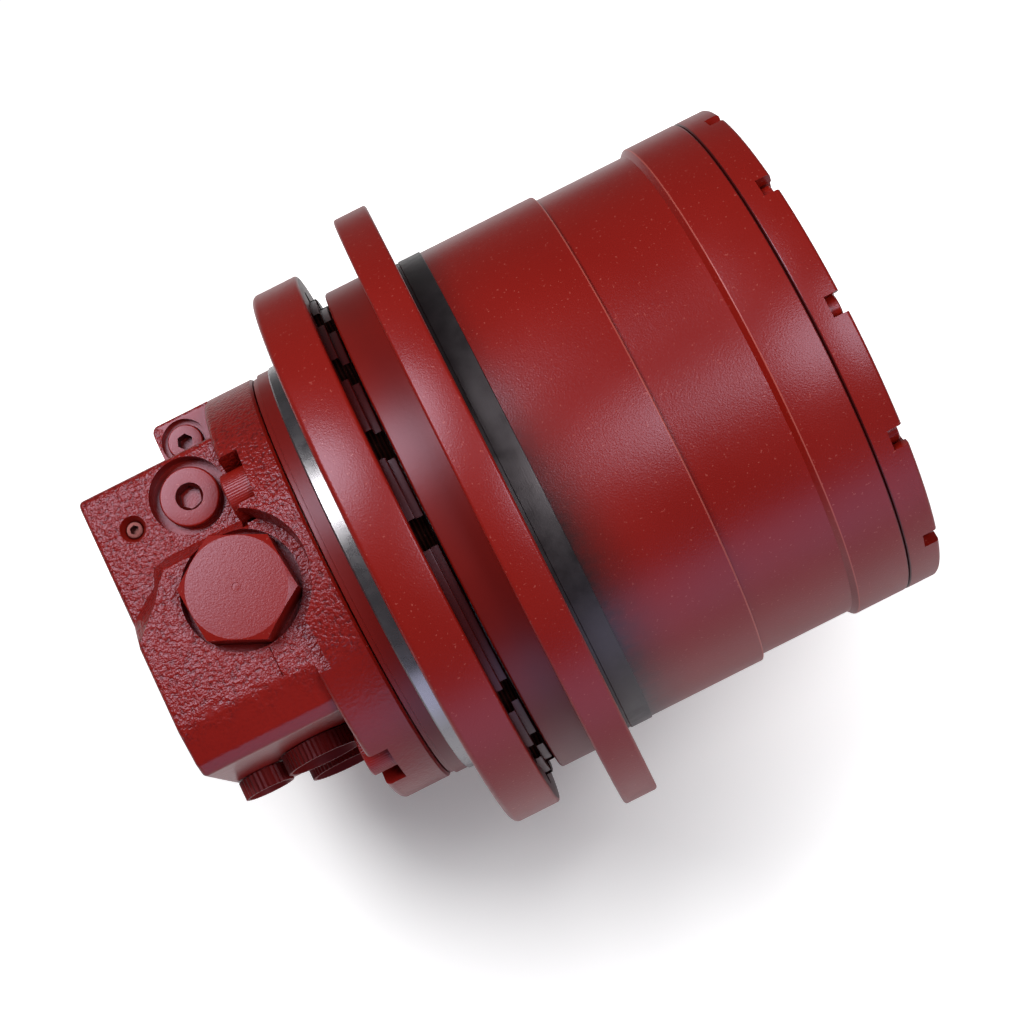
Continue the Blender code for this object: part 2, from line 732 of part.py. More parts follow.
def make_cover(paint, steel, rubber, parent):
    """The end cover with its pockets, its seal and its two oil plugs."""
    piece = lathe("end_cover", cover_profile(), paint, BIG_STEPS, parent)
    size = (COVER_SCREW_PCR, COVER_POCKET_R, COVER_SLOT_WIDTH, BAND_R)
    reach = (COVER_FACE_X - COVER_POCKET_DEPTH, COVER_FACE_X + 1)
    angles = spread(COVER_SCREWS, math.radians(COVER_SCREW_START))
    cut(piece, together([screw_pocket(angle, *size, *reach) for angle in angles]))
    bore_r = OIL_PLUG_R + SEAT
    seat_x = COVER_FACE_X - COVER_DISH_DEPTH - OIL_PLUG_FLANGE_T - SEAT
    cut(piece, bolt_cutter(oil_plug_angles(), OIL_PLUG_PCR, bore_r, SPIGOT_X - 1, COVER_FACE_X + 1, SMALL_STEPS))
    cut(piece, bolt_cutter(oil_plug_angles(), OIL_PLUG_PCR, OIL_PLUG_FLANGE_R + SEAT, seat_x, COVER_FACE_X + 1, SMALL_STEPS))
    groove_x = SPIGOT_X + COVER_SEAL_WIDTH / 2
    seal = square_ring(
        groove_x + SEAT,
        groove_x + COVER_SEAL_WIDTH - SEAT,
        around(RING_GEAR_R - SEAT - COVER_SEAL_DEPTH, RING_STEPS),
        within(RING_GEAR_R),
    )
    lathe("cover_seal", seal, rubber, RING_STEPS, parent)
    for name, angle in zip(("oil_plug_level", "oil_plug_drain"), oil_plug_angles()):
        face_x = COVER_FACE_X - COVER_DISH_DEPTH
        profile = (
            (SPIGOT_X + SEAT, 0),
            (SPIGOT_X + SEAT, OIL_PLUG_R - SEAT),
            (seat_x + SEAT, OIL_PLUG_R - SEAT),
            (seat_x + SEAT, OIL_PLUG_FLANGE_R - SEAT),
            (face_x, OIL_PLUG_FLANGE_R - SEAT),
            (face_x, 0),
        )
        at = around_axis(angle, OIL_PLUG_PCR)
        plug = lathe(name, profile, steel, SMALL_STEPS, parent, at=at)
        cut(plug, plate(hexagon(OIL_PLUG_HEX), face_x - OIL_PLUG_HEX / 2, face_x + 1), at=at)
    pad = rod(SPIGOT_X - THRUST_PAD_T - SEAT, SPIGOT_X - SEAT, THRUST_PAD_R)
    lathe("thrust_pad", pad, steel, SMALL_STEPS, parent)
    return piece


def make_seals(steel, rubber, parent):
    """The floating face seal: one lapped ring and one toric ring on each side of the gap."""
    middle = (LIP_X + HUB_X) / 2
    ring_r = BARREL_R + SEAL_RING_GAP
    ring_top = within(SEAL_BORE_R) - TORIC_T
    for side, name, carrier in ((-1, "frame", None), (1, "hub", parent)):
        face = middle + side * SEAT / 2
        back = face + side * SEAL_RING_T
        low, high = sorted((face, back))
        lathe(f"seal_ring_{name}", square_ring(low, high, ring_r, ring_top - SEAT), steel, RING_STEPS, carrier)
        centre = middle + side * (SEAL_DEPTH + HUB_GAP / 2 - TORIC_T / 2 - SEAT)
        radius = ring_top + TORIC_T / 2
        circle = [
            (centre + TORIC_T / 2 * math.cos(angle), radius + TORIC_T / 2 * math.sin(angle))
            for angle in spread(6, math.pi / 2)
        ]
        lathe(f"seal_toric_{name}", circle, rubber, RING_STEPS, carrier)


def make_bearing(name, low, lean, steel, cage_metal, hub, cage):
    """One tapered roller bearing: inner race on the spindle, outer race in the hub, rollers in a cage."""
    high = low + BEARING_WIDTH
    slope = BEARING_SLOPE * lean
    bore_r = around(JOURNAL_R, RACE_STEPS)
    cone_r = ROLLER_PITCH_R - ROLLER_R - SEAT
    cup_r = around(ROLLER_PITCH_R + ROLLER_R, RACE_STEPS)
    outer_r = within(BEARING_OUTER_R)
    inner = ((low, bore_r), (low, cone_r - slope), (high, cone_r + slope), (high, bore_r))
    outer = ((low, outer_r), (low, cup_r - slope), (high, cup_r + slope), (high, outer_r))
    lathe(f"{name}_inner_race", inner, steel, RACE_STEPS)
    lathe(f"{name}_outer_race", outer, steel, RACE_STEPS, hub)
    outside = []
    inside = []
    crown = ROLLER_R * 0.45 / ROLLER_PITCH_R
    foot = ROLLER_R * 0.95 / ROLLER_PITCH_R
    for angle in spread(ROLLERS):
        for side, rise in ((-foot, CAGE_T / 2), (-crown, ROLLER_R), (crown, ROLLER_R), (foot, CAGE_T / 2)):
            outside.append(along(angle + side, ROLLER_PITCH_R + rise))
            inside.append(along(angle + side, ROLLER_PITCH_R - rise))
    middle = (low + high) / 2
    shape = plate(outside, middle - ROLLER_LENGTH / 2, middle + ROLLER_LENGTH / 2, [inside])
    widen = slope * ROLLER_LENGTH / BEARING_WIDTH
    for corner in shape.verts:
        side = 1 if corner.co.z > middle else -1
        corner.co.xy += corner.co.xy.normalized() * widen * side
    return new_piece(f"{name}_rollers", shape, cage_metal, parent=cage)


def make_ring_gear(steel, parent):
    """The ring gear that both stages run in, pressed into the hub."""
    pitch = MODULE * RING_TEETH / 2
    inside = gear_outline(
        RING_TEETH,
        pitch - ADDENDUM * MODULE,
        pitch + DEDENDUM * MODULE,
        BACKLASH,
        math.pi / RING_TEETH,
    )
    shape = plate(ring(RING_GEAR_R - SEAT, BIG_STEPS), RING_GEAR_X, RING_GEAR_END, [inside])
    return new_piece("ring_gear", shape, steel, parent=parent)


def planet_places():
    """The angles of the planets of a stage."""
    return spread(PLANETS, FIRST_PLANET_AT)


def make_planets(stage, low, high, steel, parent):
    """The planets of one stage, each turning about its own pin."""
    for number, angle in enumerate(planet_places(), 1):
        at = around_axis(angle, CARRIER_DISTANCE)
        pin_axis = axis(f"{stage}_planet_{number}_axis", at, parent)
        shape = plate(outer_gear(PLANET_TEETH, planet_turn(angle)), low, high, [ring(PLANET_BORE_R, 12)])
        new_piece(f"{stage}_planet_{number}", shape, steel, at=at, parent=pin_axis)


def pin_shapes(low, high):
    """The pins that carry a stage's planets."""
    pins = []
    for angle in planet_places():
        across, up = along(angle, CARRIER_DISTANCE)
        pins.append(moved(plate(ring(PIN_R, 12), low, high), across, up))
    return together(pins)


def make_fixed_carrier(cast):
    """The second stage carrier, held on the spindle's nose, with the pins of its planets."""
    low, high = CARRIER_X, CARRIER_X + CARRIER_PLATE_T
    plate_ring = square_ring(low, high, MODULE * SUN_TEETH / 2 + 2 * PIN_LONGER, CARRIER_R)
    piece = lathe("second_stage_carrier", plate_ring, cast, BIG_STEPS // 2)
    add(piece, pin_shapes(high - PIN_LONGER, STAGE_TWO_END + PIN_LONGER))
    return piece


def make_first_carrier(cast, steel, parent):
    """The first stage carrier and the second sun gear that it drives through its middle."""
    pitch = MODULE * SUN_TEETH / 2
    bore = around(pitch + ADDENDUM * MODULE, BIG_STEPS // 2)
    low, high = CARRIER_DISC_X, CARRIER_DISC_X + CARRIER_DISC_T
    piece = lathe("first_stage_carrier", square_ring(low, high, bore, CARRIER_R), cast, BIG_STEPS // 2, parent)
    add(piece, pin_shapes(high - PIN_LONGER, STAGE_ONE_END + PIN_LONGER))
    outline = outer_gear(SUN_TEETH, sun_turn(FIRST_PLANET_AT))
    shape = plate(outline, STAGE_TWO_X, high - SEAT, [ring(SUN_BORE_R, SMALL_STEPS)])
    new_piece("second_sun_gear", shape, steel, parent=parent)
    return piece


def make_shaft(steel, bronze, rubber, parent):
    """The drive shaft with the first sun gear on its end, its bearings and its seal."""
    tail_x = BLOCK_X - TAIL_BEARING_T
    step_x = BLOCK_X + VALVE_PLATE_T
    profile = (
        (tail_x, 0),
        (tail_x, SHAFT_TAIL_R),
        (step_x, SHAFT_TAIL_R),
        (step_x, SHAFT_R),
        (SHAFT_END_X, SHAFT_R),
        (SHAFT_END_X, 0),
    )
    piece = lathe("drive_shaft", profile, steel, SMALL_STEPS, parent)
    add(piece, plate(outer_gear(SUN_TEETH, sun_turn(FIRST_PLANET_AT)), STAGE_ONE_X, STAGE_ONE_END))
    low = MOTOR_BORE_END + SEAT
    front = square_ring(low, low + SHAFT_BEARING_T, SHAFT_R + RUN, SHAFT_BEARING_R - SEAT)
    lathe("shaft_bearing_front", front, bronze, RING_STEPS)
    rear = square_ring(tail_x, BLOCK_X - SEAT, SHAFT_TAIL_R + RUN, TAIL_BEARING_R - SEAT)
    lathe("shaft_bearing_rear", rear, bronze, RING_STEPS)
    low = low + SHAFT_BEARING_T + 2 * SEAT
    seal = square_ring(low, low + SHAFT_SEAL_T, SHAFT_R + RUN, SHAFT_SEAL_R - SEAT)
    lathe("shaft_seal", seal, rubber, RING_STEPS)
    return piece


def kidney(side):
    """A curved port slot on one side of the valve plate."""
    reach = math.radians(65)
    middle = 0.0 if side > 0 else math.pi
    steps = 5
    outline = []
    for number in range(steps + 1):
        outline.append(along(middle - reach + 2 * reach * number / steps, PISTON_PCR - KIDNEY_WIDTH / 2))
    for number in range(steps + 1):
        outline.append(along(middle + reach - 2 * reach * number / steps, PISTON_PCR + KIDNEY_WIDTH / 2))
    return outline


def make_motor(steel, bronze, parent):
    """Valve plate, cylinder block, pistons with their retainer, and the swash plate."""
    low = BLOCK_X + SEAT
    high = low + VALVE_PLATE_T
    holes = [ring(VALVE_PLATE_BORE_R, SMALL_STEPS), kidney(1), kidney(-1)]
    new_piece("valve_plate", plate(ring(BARREL_BLOCK_R, RING_STEPS), low, high, holes), bronze)
    block_x = high + SEAT
    block_end = block_x + BARREL_BLOCK_LENGTH
    tube = square_ring(block_x, block_end, SHAFT_R + RUN, BARREL_BLOCK_R)
    cylinder = lathe("cylinder_block", tube, steel, RING_STEPS, parent)
    angles = spread(PISTONS)
    bore_x = block_end - PISTON_DEPTH
    bore_r = PISTON_R + PISTON_GAP
    cut(cylinder, bolt_cutter(angles, PISTON_PCR, bore_r, bore_x, block_end + 1, PISTON_SIDES))
    retainer_x = block_end + PISTON_OUT - RETAINER_T
    disc = square_ring(retainer_x, block_end + PISTON_OUT, SHAFT_R + RUN, RETAINER_R)
    pistons = lathe("pistons_and_retainer", disc, bronze, RING_STEPS, parent)
    reach = block_end + PISTON_OUT - RETAINER_T / 2
    add(pistons, bolt_cutter(angles, PISTON_PCR, PISTON_R, bore_x + PISTON_GAP, reach, PISTON_SIDES))
    swash_end = MOTOR_BORE_END - SEAT
    body = plate(ring(SWASH_R, RING_STEPS), SWASH_MIDDLE_X - SWASH_R, swash_end, [ring(SWASH_BORE, SMALL_STEPS)])
    slope = Vector((-math.sin(SWASH_TILT), 0, math.cos(SWASH_TILT)))
    sliced = bmesh.ops.bisect_plane(
        body,
        geom=body.verts[:] + body.edges[:] + body.faces[:],
        plane_co=(0, 0, SWASH_MIDDLE_X),
        plane_no=slope,
        clear_inner=True,
    )
    rim = [part for part in sliced["geom_cut"] if isinstance(part, bmesh.types.BMEdge)]
    bmesh.ops.triangle_fill(body, edges=rim, use_beauty=True)
    new_piece("swash_plate", body, steel)


def make_brake(steel, friction, parent, brake_axis):
    """The parking brake: a spring presses the piston, which clamps the discs against the spindle's shoulder."""
    outer = within(MOTOR_BORE_R)
    plate_x = BRAKE_SHOULDER_X - SEAT - DISC_T
    separator = square_ring(plate_x, plate_x + DISC_T, SEPARATOR_INNER_R, outer)
    lathe("brake_separator", separator, steel, RING_STEPS)
    disc_x = plate_x - SEAT - DISC_T
    disc = square_ring(disc_x, disc_x + DISC_T, BARREL_BLOCK_R + SEAT, DISC_OUTER_R)
    lathe("brake_friction_disc", disc, friction, RING_STEPS, parent)
    piston_x = disc_x - SEAT - BRAKE_PISTON_T
    piston = square_ring(piston_x, piston_x + BRAKE_PISTON_T, BRAKE_PISTON_INNER_R, outer)
    lathe("brake_piston", piston, steel, RING_STEPS, brake_axis)
    spring_x = JOINT_X + SEAT
    free = piston_x - BRAKE_TRAVEL - SEAT
    spring = (
        (spring_x, outer - SEAT),
        (spring_x + BRAKE_SPRING_T, outer - SEAT),
        (free, BRAKE_PISTON_INNER_R + SEAT),
        (free - BRAKE_SPRING_T, BRAKE_PISTON_INNER_R + SEAT),
    )
    lathe("brake_spring", spring, steel, RING_STEPS)


def rounded(corners, radius, steps=2):
    """An outline with each corner turned into an arc."""
    outline = []
    for number, corner in enumerate(corners):
        here = Vector(corner)
        back = (Vector(corners[number - 1]) - here).normalized()
        ahead = (Vector(corners[(number + 1) % len(corners)]) - here).normalized()
        half = back.angle(ahead) / 2
        centre = here + (back + ahead).normalized() * radius / math.sin(half)
        start = here + back * radius / math.tan(half) - centre
        end = here + ahead * radius / math.tan(half) - centre
        sweep = start.angle_signed(end)
        for step in range(steps + 1):
            spoke = start.copy()
            spoke.rotate(Matrix.Rotation(-sweep * step / steps, 2))
            outline.append(tuple(centre + spoke))
    return outline


def block_body():
    """The cast body of the valve block, seen along the axis."""
    corners = (
        (BLOCK_LOW_Y, BLOCK_BACK_Z),
        (BLOCK_HIGH_Y, BLOCK_BACK_Z),
        (BLOCK_HIGH_Y, BLOCK_FACE_Z),
        (BLOCK_LOW_Y, BLOCK_FACE_Z),
    )
    return plate(rounded(corners, BLOCK_CORNER), BLOCK_LEFT, BLOCK_BODY_X + 1)


def block_bevel():
    """The sloping part of the front, from the raised pad down to the port side."""
    top = PAD_Z - BEVEL_DROP
    corners = ((PAD_LOW_Y, PAD_Z), (BLOCK_LOW_Y + BLOCK_CORNER, top), (BLOCK_LOW_Y, top - BLOCK_CORNER))
    foot = ((BLOCK_LOW_Y, 0), (PAD_LOW_Y, 0))
    return plate(corners + foot, BLOCK_LEFT, BLOCK_BODY_X + 1)


def block_pad():
    """The raised pad round the large hex plug, with the stepped and sloping edge of the casting."""
    right = BLOCK_BODY_X + 1
    low = ((BLOCK_LEFT, PAD_LOW_Y), (right, PAD_LOW_Y))
    foot = ((right, PAD_FOOT_EDGE[0][1]), *PAD_FOOT_EDGE, *low)
    top = ((right, PAD_TOP_EDGE[0][1]), *PAD_TOP_EDGE, *low)
    return loft(foot, top, BLOCK_FACE_Z - 1, PAD_Z)


def plug_recess():
    """The round recess in the flange beside the large hex plug, and the strip of pad floor next to it."""
    low = PAD_Z + SEAT
    far = BLOCK_FLANGE_R + 1
    cone = ((low, 0), (low, RECESS_FLOOR_R), (far, RECESS_TOP_R), (far, 0))
    left = BLOCK_BODY_X - 1 - SPOOL_X
    right = RECESS_STRIP_X - SPOOL_X
    strip = ((left, PAD_LOW_Y), (right, PAD_LOW_Y), (right, RECESS_STRIP_Y), (left, RECESS_STRIP_Y))
    return turned(cone, RING_STEPS), plate(strip, low, far)


def drill(piece, radius, low, high, turn, at, steps=SMALL_STEPS):
    """A round hole in a piece."""
    cut(piece, plate(ring(radius, steps), low, high), turn, at)


def make_block(paint, rubber):
    """The cast valve block with its flange, bores and screw pockets."""
    low = BLOCK_BODY_X
    edge = BLOCK_CORNER / 2
    pocket_x = BLOCK_X - TAIL_BEARING_T - SEAT
    profile = (
        (low, 0),
        (low, BLOCK_FLANGE_R - edge),
        (low + edge, BLOCK_FLANGE_R),
        (BLOCK_X, BLOCK_FLANGE_R),
        (BLOCK_X, BLOCK_SEAL_R + BLOCK_SEAL_WIDTH),
        (BLOCK_X - BLOCK_SEAL_DEPTH, BLOCK_SEAL_R + BLOCK_SEAL_WIDTH),
        (BLOCK_X - BLOCK_SEAL_DEPTH, BLOCK_SEAL_R),
        (BLOCK_X, BLOCK_SEAL_R),
        (BLOCK_X, TAIL_BEARING_R),
        (pocket_x, TAIL_BEARING_R),
        (pocket_x, 0),
    )
    piece = lathe("motor_valve_block", profile, paint, BIG_STEPS)
    add(piece, block_body())
    add(piece, block_bevel())
    add(piece, block_pad(), ALONG_Z)
    side = (
        (SIDE_BLOCK_LEFT, BLOCK_HIGH_Y - 1),
        (BLOCK_BODY_X + 1, BLOCK_HIGH_Y - 1),
        (BLOCK_BODY_X + 1, SIDE_BLOCK_HIGH_Y),
        (SIDE_BLOCK_LEFT, SIDE_BLOCK_HIGH_Y),
    )
    add(piece, plate(side, SIDE_BLOCK_BACK_Z, SIDE_BLOCK_FACE_Z), ALONG_Z)
    far = BLOCK_FLANGE_R + 1
    spot = BIG_PLUG_TOP - BIG_PLUG_HEAD_T - SEAT
    stem = spot - BIG_PLUG_STEM - SEAT
    spool_at = (SPOOL_X, SPOOL_Y, 0)
    for recess in plug_recess():
        cut(piece, recess, ALONG_Z, spool_at)
    drill(piece, BIG_PLUG_SPOT_R, spot, far, ALONG_Z, spool_at, RING_STEPS)
    drill(piece, BIG_PLUG_SPOT_R, -BLOCK_BACK_Z, far, DOWN_Z, spool_at, RING_STEPS)
    drill(piece, BIG_PLUG_STEM_R + SEAT, stem, far, ALONG_Z, spool_at, RING_STEPS)
    drill(piece, BIG_PLUG_STEM_R + SEAT, stem - spot - BLOCK_BACK_Z, far, DOWN_Z, spool_at, RING_STEPS)
    drill(piece, SPOOL_BORE_R, -far, far, ALONG_Z, spool_at)
    relief_at = (RELIEF_X, RELIEF_Y, 0)
    relief_spot = BLOCK_FACE_Z - RELIEF_SPOT_DEPTH
    drill(piece, RELIEF_SPOT_R, relief_spot, far, ALONG_Z, relief_at, RING_STEPS)
    drill(piece, RELIEF_STEM_R + SEAT, relief_spot - RELIEF_STEM - SEAT, far, ALONG_Z, relief_at)
    side_at = (SIDE_PLUG_X, SIDE_PLUG_Y, 0)
    side_spot = SIDE_BLOCK_FACE_Z - SIDE_PLUG_SPOT_DEPTH
    drill(piece, SIDE_PLUG_SPOT_R, side_spot, far, ALONG_Z, side_at)
    drill(piece, SIDE_PLUG_R + SEAT, side_spot - SIDE_PLUG_LENGTH - SEAT, far, ALONG_Z, side_at)
    gauge_at = (GAUGE_X, GAUGE_Y, 0)
    drill(piece, GAUGE_SPOT_R, BLOCK_FACE_Z - GAUGE_SPOT_DEPTH, far, ALONG_Z, gauge_at)
    drill(piece, GAUGE_R + SEAT, BLOCK_FACE_Z - GAUGE_SPOT_DEPTH - GAUGE_LENGTH, far, ALONG_Z, gauge_at)
    for name, x, z, radius in PORT_CAPS:
        depth = -BLOCK_LOW_Y - CAP_STEM - SEAT
        drill(piece, radius * CAP_STEM_SHARE + SEAT, depth, 1 - BLOCK_LOW_Y, DOWN_Y, (x, 0, z))
    screw_hole_r = around(BLOCK_SCREW_R, HOLE_STEPS)
    seat_x = BLOCK_SCREW_SEAT_X - 1
    cut(piece, bolt_cutter(block_screw_angles(), BLOCK_SCREW_PCR, screw_hole_r, seat_x, BLOCK_X + 1))
    pocket_x = BLOCK_SCREW_SEAT_X + SEAT
    pocket_end = BLOCK_SCREW_SEAT_X - BLOCK_SCREW_HEAD_T - SEAT
    size = (BLOCK_SCREW_PCR, BLOCK_POCKET_R, 2 * BLOCK_POCKET_R, BLOCK_FLANGE_R)
    pockets = [screw_pocket(angle, *size, pocket_end, pocket_x) for angle in block_screw_angles()]
    cut(piece, together(pockets))
    seal = square_ring(
        BLOCK_X - BLOCK_SEAL_DEPTH + SEAT,
        BLOCK_X,
        around(BLOCK_SEAL_R, RING_STEPS),
        BLOCK_SEAL_R + BLOCK_SEAL_WIDTH - SEAT,
    )
    lathe("block_face_seal", seal, rubber, RING_STEPS)
    return piece


def make_block_screws(steel):
    """The socket head screws that clamp the valve block to the spindle housing."""
    seat = BLOCK_SCREW_SEAT_X
    head = seat - BLOCK_SCREW_HEAD_T
    profile = (
        (head, 0),
        (head, BLOCK_SCREW_HEAD_R),
        (seat, BLOCK_SCREW_HEAD_R),
        (seat, BLOCK_SCREW_R),
        (seat + BLOCK_SCREW_REACH, BLOCK_SCREW_R),
        (seat + BLOCK_SCREW_REACH, 0),
    )
    for number, angle in enumerate(block_screw_angles(), 1):
        at = around_axis(angle, BLOCK_SCREW_PCR)
        screw = lathe(f"block_screw_{number}", profile, steel, SMALL_STEPS, at=at)
        cut(screw, plate(hexagon(BLOCK_SCREW_HEX), head - 1, head + BLOCK_SCREW_HEX / 2), at=at)


def make_big_plug(name, paint, turn, face):
    """A large hex plug that closes one end of the counterbalance bore."""
    seat = face - BIG_PLUG_HEAD_T
    chamfer = BIG_PLUG_HEX / 2 * (1 / math.cos(math.pi / 6) - 1)
    corner_r = BIG_PLUG_HEX / 2 + chamfer
    profile = (
        (seat - BIG_PLUG_STEM, 0),
        (seat - BIG_PLUG_STEM, BIG_PLUG_STEM_R),
        (seat, BIG_PLUG_STEM_R),
        (seat, corner_r),
        (face - chamfer / 2, corner_r),
        (face, BIG_PLUG_HEX / 2),
        (face, 0),
    )
    at = (SPOOL_X, SPOOL_Y, 0)
    plug = lathe(name, profile, paint, RING_STEPS, turn=turn, at=at)
    outer = ring(2 * BIG_PLUG_HEX, 6)
    cut(plug, plate(outer, seat, face + 1, [hexagon(BIG_PLUG_HEX, BIG_PLUG_TURN)]), turn, at)
    return plug


def make_socket_plug(name, paint, at, seat, top, head_r, stem_r, stem, socket):
    """A plug with a round head, a threaded stem and a hexagon socket."""
    profile = (
        (seat - stem, 0),
        (seat - stem, stem_r),
        (seat, stem_r),
        (seat, head_r),
        (top, head_r),
        (top, 0),
    )
    plug = lathe(name, profile, paint, SMALL_STEPS, turn=ALONG_Z, at=at)
    cut(plug, plate(hexagon(socket), top - socket / 2, top + 1), ALONG_Z, at)
    return plug


def make_port_caps(plastic):
    """The ribbed caps that close the ports."""
    for name, x, z, radius in PORT_CAPS:
        base = SEAT - BLOCK_LOW_Y
        outline = []
        for number, angle in enumerate(spread(2 * CAP_RIBS)):
            outline.append(along(angle, radius - CAP_RIB_DEPTH * (number % 2)))
        at = (x, 0, z)
        cap = new_piece(name, plate(outline, base, base + CAP_LIP), plastic, DOWN_Y, at)
        add(cap, plate(ring(radius * CAP_STEM_SHARE, SMALL_STEPS), base - CAP_STEM, base + 1), DOWN_Y, at)


def make_spring(name, steel, low, high, turn):
    """A coil spring of round wire between two seats."""
    steps = 9
    pitch = (high - low - SPRING_WIRE) / SPRING_TURNS
    shape = bmesh.new()
    loops = []
    for number in range(steps * SPRING_TURNS + 1):
        angle = 2 * math.pi * number / steps
        middle = low + SPRING_WIRE / 2 + pitch * number / steps
        loop = []
        for side in spread(4):
            reach, rise = along(side, SPRING_WIRE / 2)
            across, up = along(angle, SPRING_R + reach)
            loop.append(shape.verts.new((across, up, middle + rise)))
        loops.append(loop)
    for before, after in zip(loops, loops[1:]):
        for side in range(4):
            shape.faces.new((before[side - 1], before[side], after[side], after[side - 1]))
    shape.faces.new(loops[0])
    shape.faces.new(loops[-1])
    return new_piece(name, shape, steel, turn, (SPOOL_X, SPOOL_Y, 0))


def make_counterbalance(paint, steel):
    """The counterbalance valve: a sliding spool between two springs and two hex plugs."""
    at = (SPOOL_X, SPOOL_Y, 0)
    back_face = BIG_PLUG_HEAD_T + SEAT - BLOCK_BACK_Z
    make_big_plug("counterbalance_plug_front", paint, ALONG_Z, BIG_PLUG_TOP)
    make_big_plug("counterbalance_plug_rear", paint, DOWN_Z, back_face)
    slide = axis("spool_axis", at)
    land = SPOOL_HALF_LENGTH / 2
    groove = land / 2
    profile = (
        (-SPOOL_HALF_LENGTH, 0),
        (-SPOOL_HALF_LENGTH, SPOOL_R),
        (-land, SPOOL_R),
        (-land, SPOOL_WAIST_R),
        (-groove, SPOOL_WAIST_R),
        (-groove, SPOOL_R),
        (groove, SPOOL_R),
        (groove, SPOOL_WAIST_R),
        (land, SPOOL_WAIST_R),
        (land, SPOOL_R),
        (SPOOL_HALF_LENGTH, SPOOL_R),
        (SPOOL_HALF_LENGTH, 0),
    )
    lathe("counterbalance_spool", profile, steel, SMALL_STEPS, slide, ALONG_Z, at)
    low = SPOOL_HALF_LENGTH + SEAT
    for name, turn, face in (("front", ALONG_Z, BIG_PLUG_TOP), ("rear", DOWN_Z, back_face)):
        high = face - BIG_PLUG_HEAD_T - BIG_PLUG_STEM - SEAT
        make_spring(f"counterbalance_spring_{name}", steel, low, high, turn)


def make_small_plugs(paint, steel):
    """The socket plugs on the front of the block."""
    relief_seat = BLOCK_FACE_Z - RELIEF_SPOT_DEPTH + SEAT
    relief_at = (RELIEF_X, RELIEF_Y, 0)
    make_socket_plug(
        "relief_plug",
        paint,
        relief_at,
        relief_seat,
        relief_seat + RELIEF_HEAD_T,
        RELIEF_R,
        RELIEF_STEM_R,
        RELIEF_STEM,
        RELIEF_HEX,
    )
    side_seat = SIDE_BLOCK_FACE_Z - SIDE_PLUG_SPOT_DEPTH
    side_at = (SIDE_PLUG_X, SIDE_PLUG_Y, 0)
    top = SIDE_BLOCK_FACE_Z - 1
    side = rod(side_seat - SIDE_PLUG_LENGTH, top, SIDE_PLUG_R)
    plug = lathe("side_port_plug", side, paint, SMALL_STEPS, turn=ALONG_Z, at=side_at)
    cut(plug, plate(hexagon(SIDE_PLUG_HEX), top - SIDE_PLUG_HEX, top + 1), ALONG_Z, side_at)
    gauge_at = (GAUGE_X, GAUGE_Y, 0)
    top = BLOCK_FACE_Z - GAUGE_SPOT_DEPTH
    gauge = rod(top - GAUGE_LENGTH + SEAT, top, GAUGE_R)
    plug = lathe("gauge_plug", gauge, steel, SMALL_STEPS, turn=ALONG_Z, at=gauge_at)
    cut(plug, plate(hexagon(GAUGE_HEX), top - GAUGE_HEX, top + 1), ALONG_Z, gauge_at)


def main():
    """Build the whole drive."""
    clear_scene()
    enamel = finish("red_enamel", (0.26, 0.012, 0.008), 0.0, 0.35)
    cast_enamel = finish("red_enamel_on_casting", (0.27, 0.014, 0.010), 0.0, 0.45)
    cap_red = finish("red_painted_cap", (0.20, 0.010, 0.008), 0.0, 0.5)
    steel = finish("machined_steel", (0.55, 0.55, 0.56), 1.0, 0.3)
    gear_steel = finish("case_hardened_steel", (0.38, 0.38, 0.40), 1.0, 0.38)
    iron = finish("cast_iron", (0.16, 0.16, 0.17), 0.6, 0.55)
    bronze = finish("bearing_bronze", (0.55, 0.36, 0.16), 1.0, 0.4)
    rubber = finish("nitrile_rubber", (0.02, 0.02, 0.02), 0.0, 0.7)
    friction = finish("friction_lining", (0.12, 0.10, 0.08), 0.1, 0.8)

    hub_axis = axis("hub_axis")
    cage_axis = axis("bearing_cage_axis")
    shaft_axis = axis("shaft_axis")
    first_carrier_axis = axis("first_carrier_axis")
    second_carrier = axis("second_carrier_centre")
    brake_axis = axis("brake_axis")

    make_spindle(enamel)
    make_block(cast_enamel, rubber)
    make_block_screws(steel)
    make_counterbalance(enamel, steel)
    make_small_plugs(enamel, steel)
    make_port_caps(cap_red)
    make_hub(enamel, hub_axis)
    make_cover(enamel, steel, rubber, hub_axis)
    make_seals(gear_steel, rubber, hub_axis)
    make_bearing("main_bearing_left", LEFT_BEARING_X, -1, steel, bronze, hub_axis, cage_axis)
    make_bearing("main_bearing_right", RIGHT_BEARING_X, 1, steel, bronze, hub_axis, cage_axis)
    nut = square_ring(NUT_X, NUT_X + NUT_T, around(JOURNAL_R, RACE_STEPS), JOURNAL_R + NUT_HEIGHT)
    lathe("bearing_nut", nut, gear_steel, RACE_STEPS)
    make_ring_gear(gear_steel, hub_axis)
    make_fixed_carrier(iron)
    make_planets("second_stage", STAGE_TWO_X, STAGE_TWO_END, gear_steel, second_carrier)
    make_first_carrier(iron, gear_steel, first_carrier_axis)
    make_planets("first_stage", STAGE_ONE_X, STAGE_ONE_END, gear_steel, first_carrier_axis)
    make_shaft(gear_steel, bronze, rubber, shaft_axis)
    make_motor(gear_steel, bronze, shaft_axis)
    make_brake(gear_steel, friction, shaft_axis, brake_axis)


main()
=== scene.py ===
"""The look of the excavator final drive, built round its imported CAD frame.

The drive axis is +X, from the motor towards the end cover. Sizes are written in millimetres.
"""

import json
import math

import bpy
from mathutils import Matrix, Vector


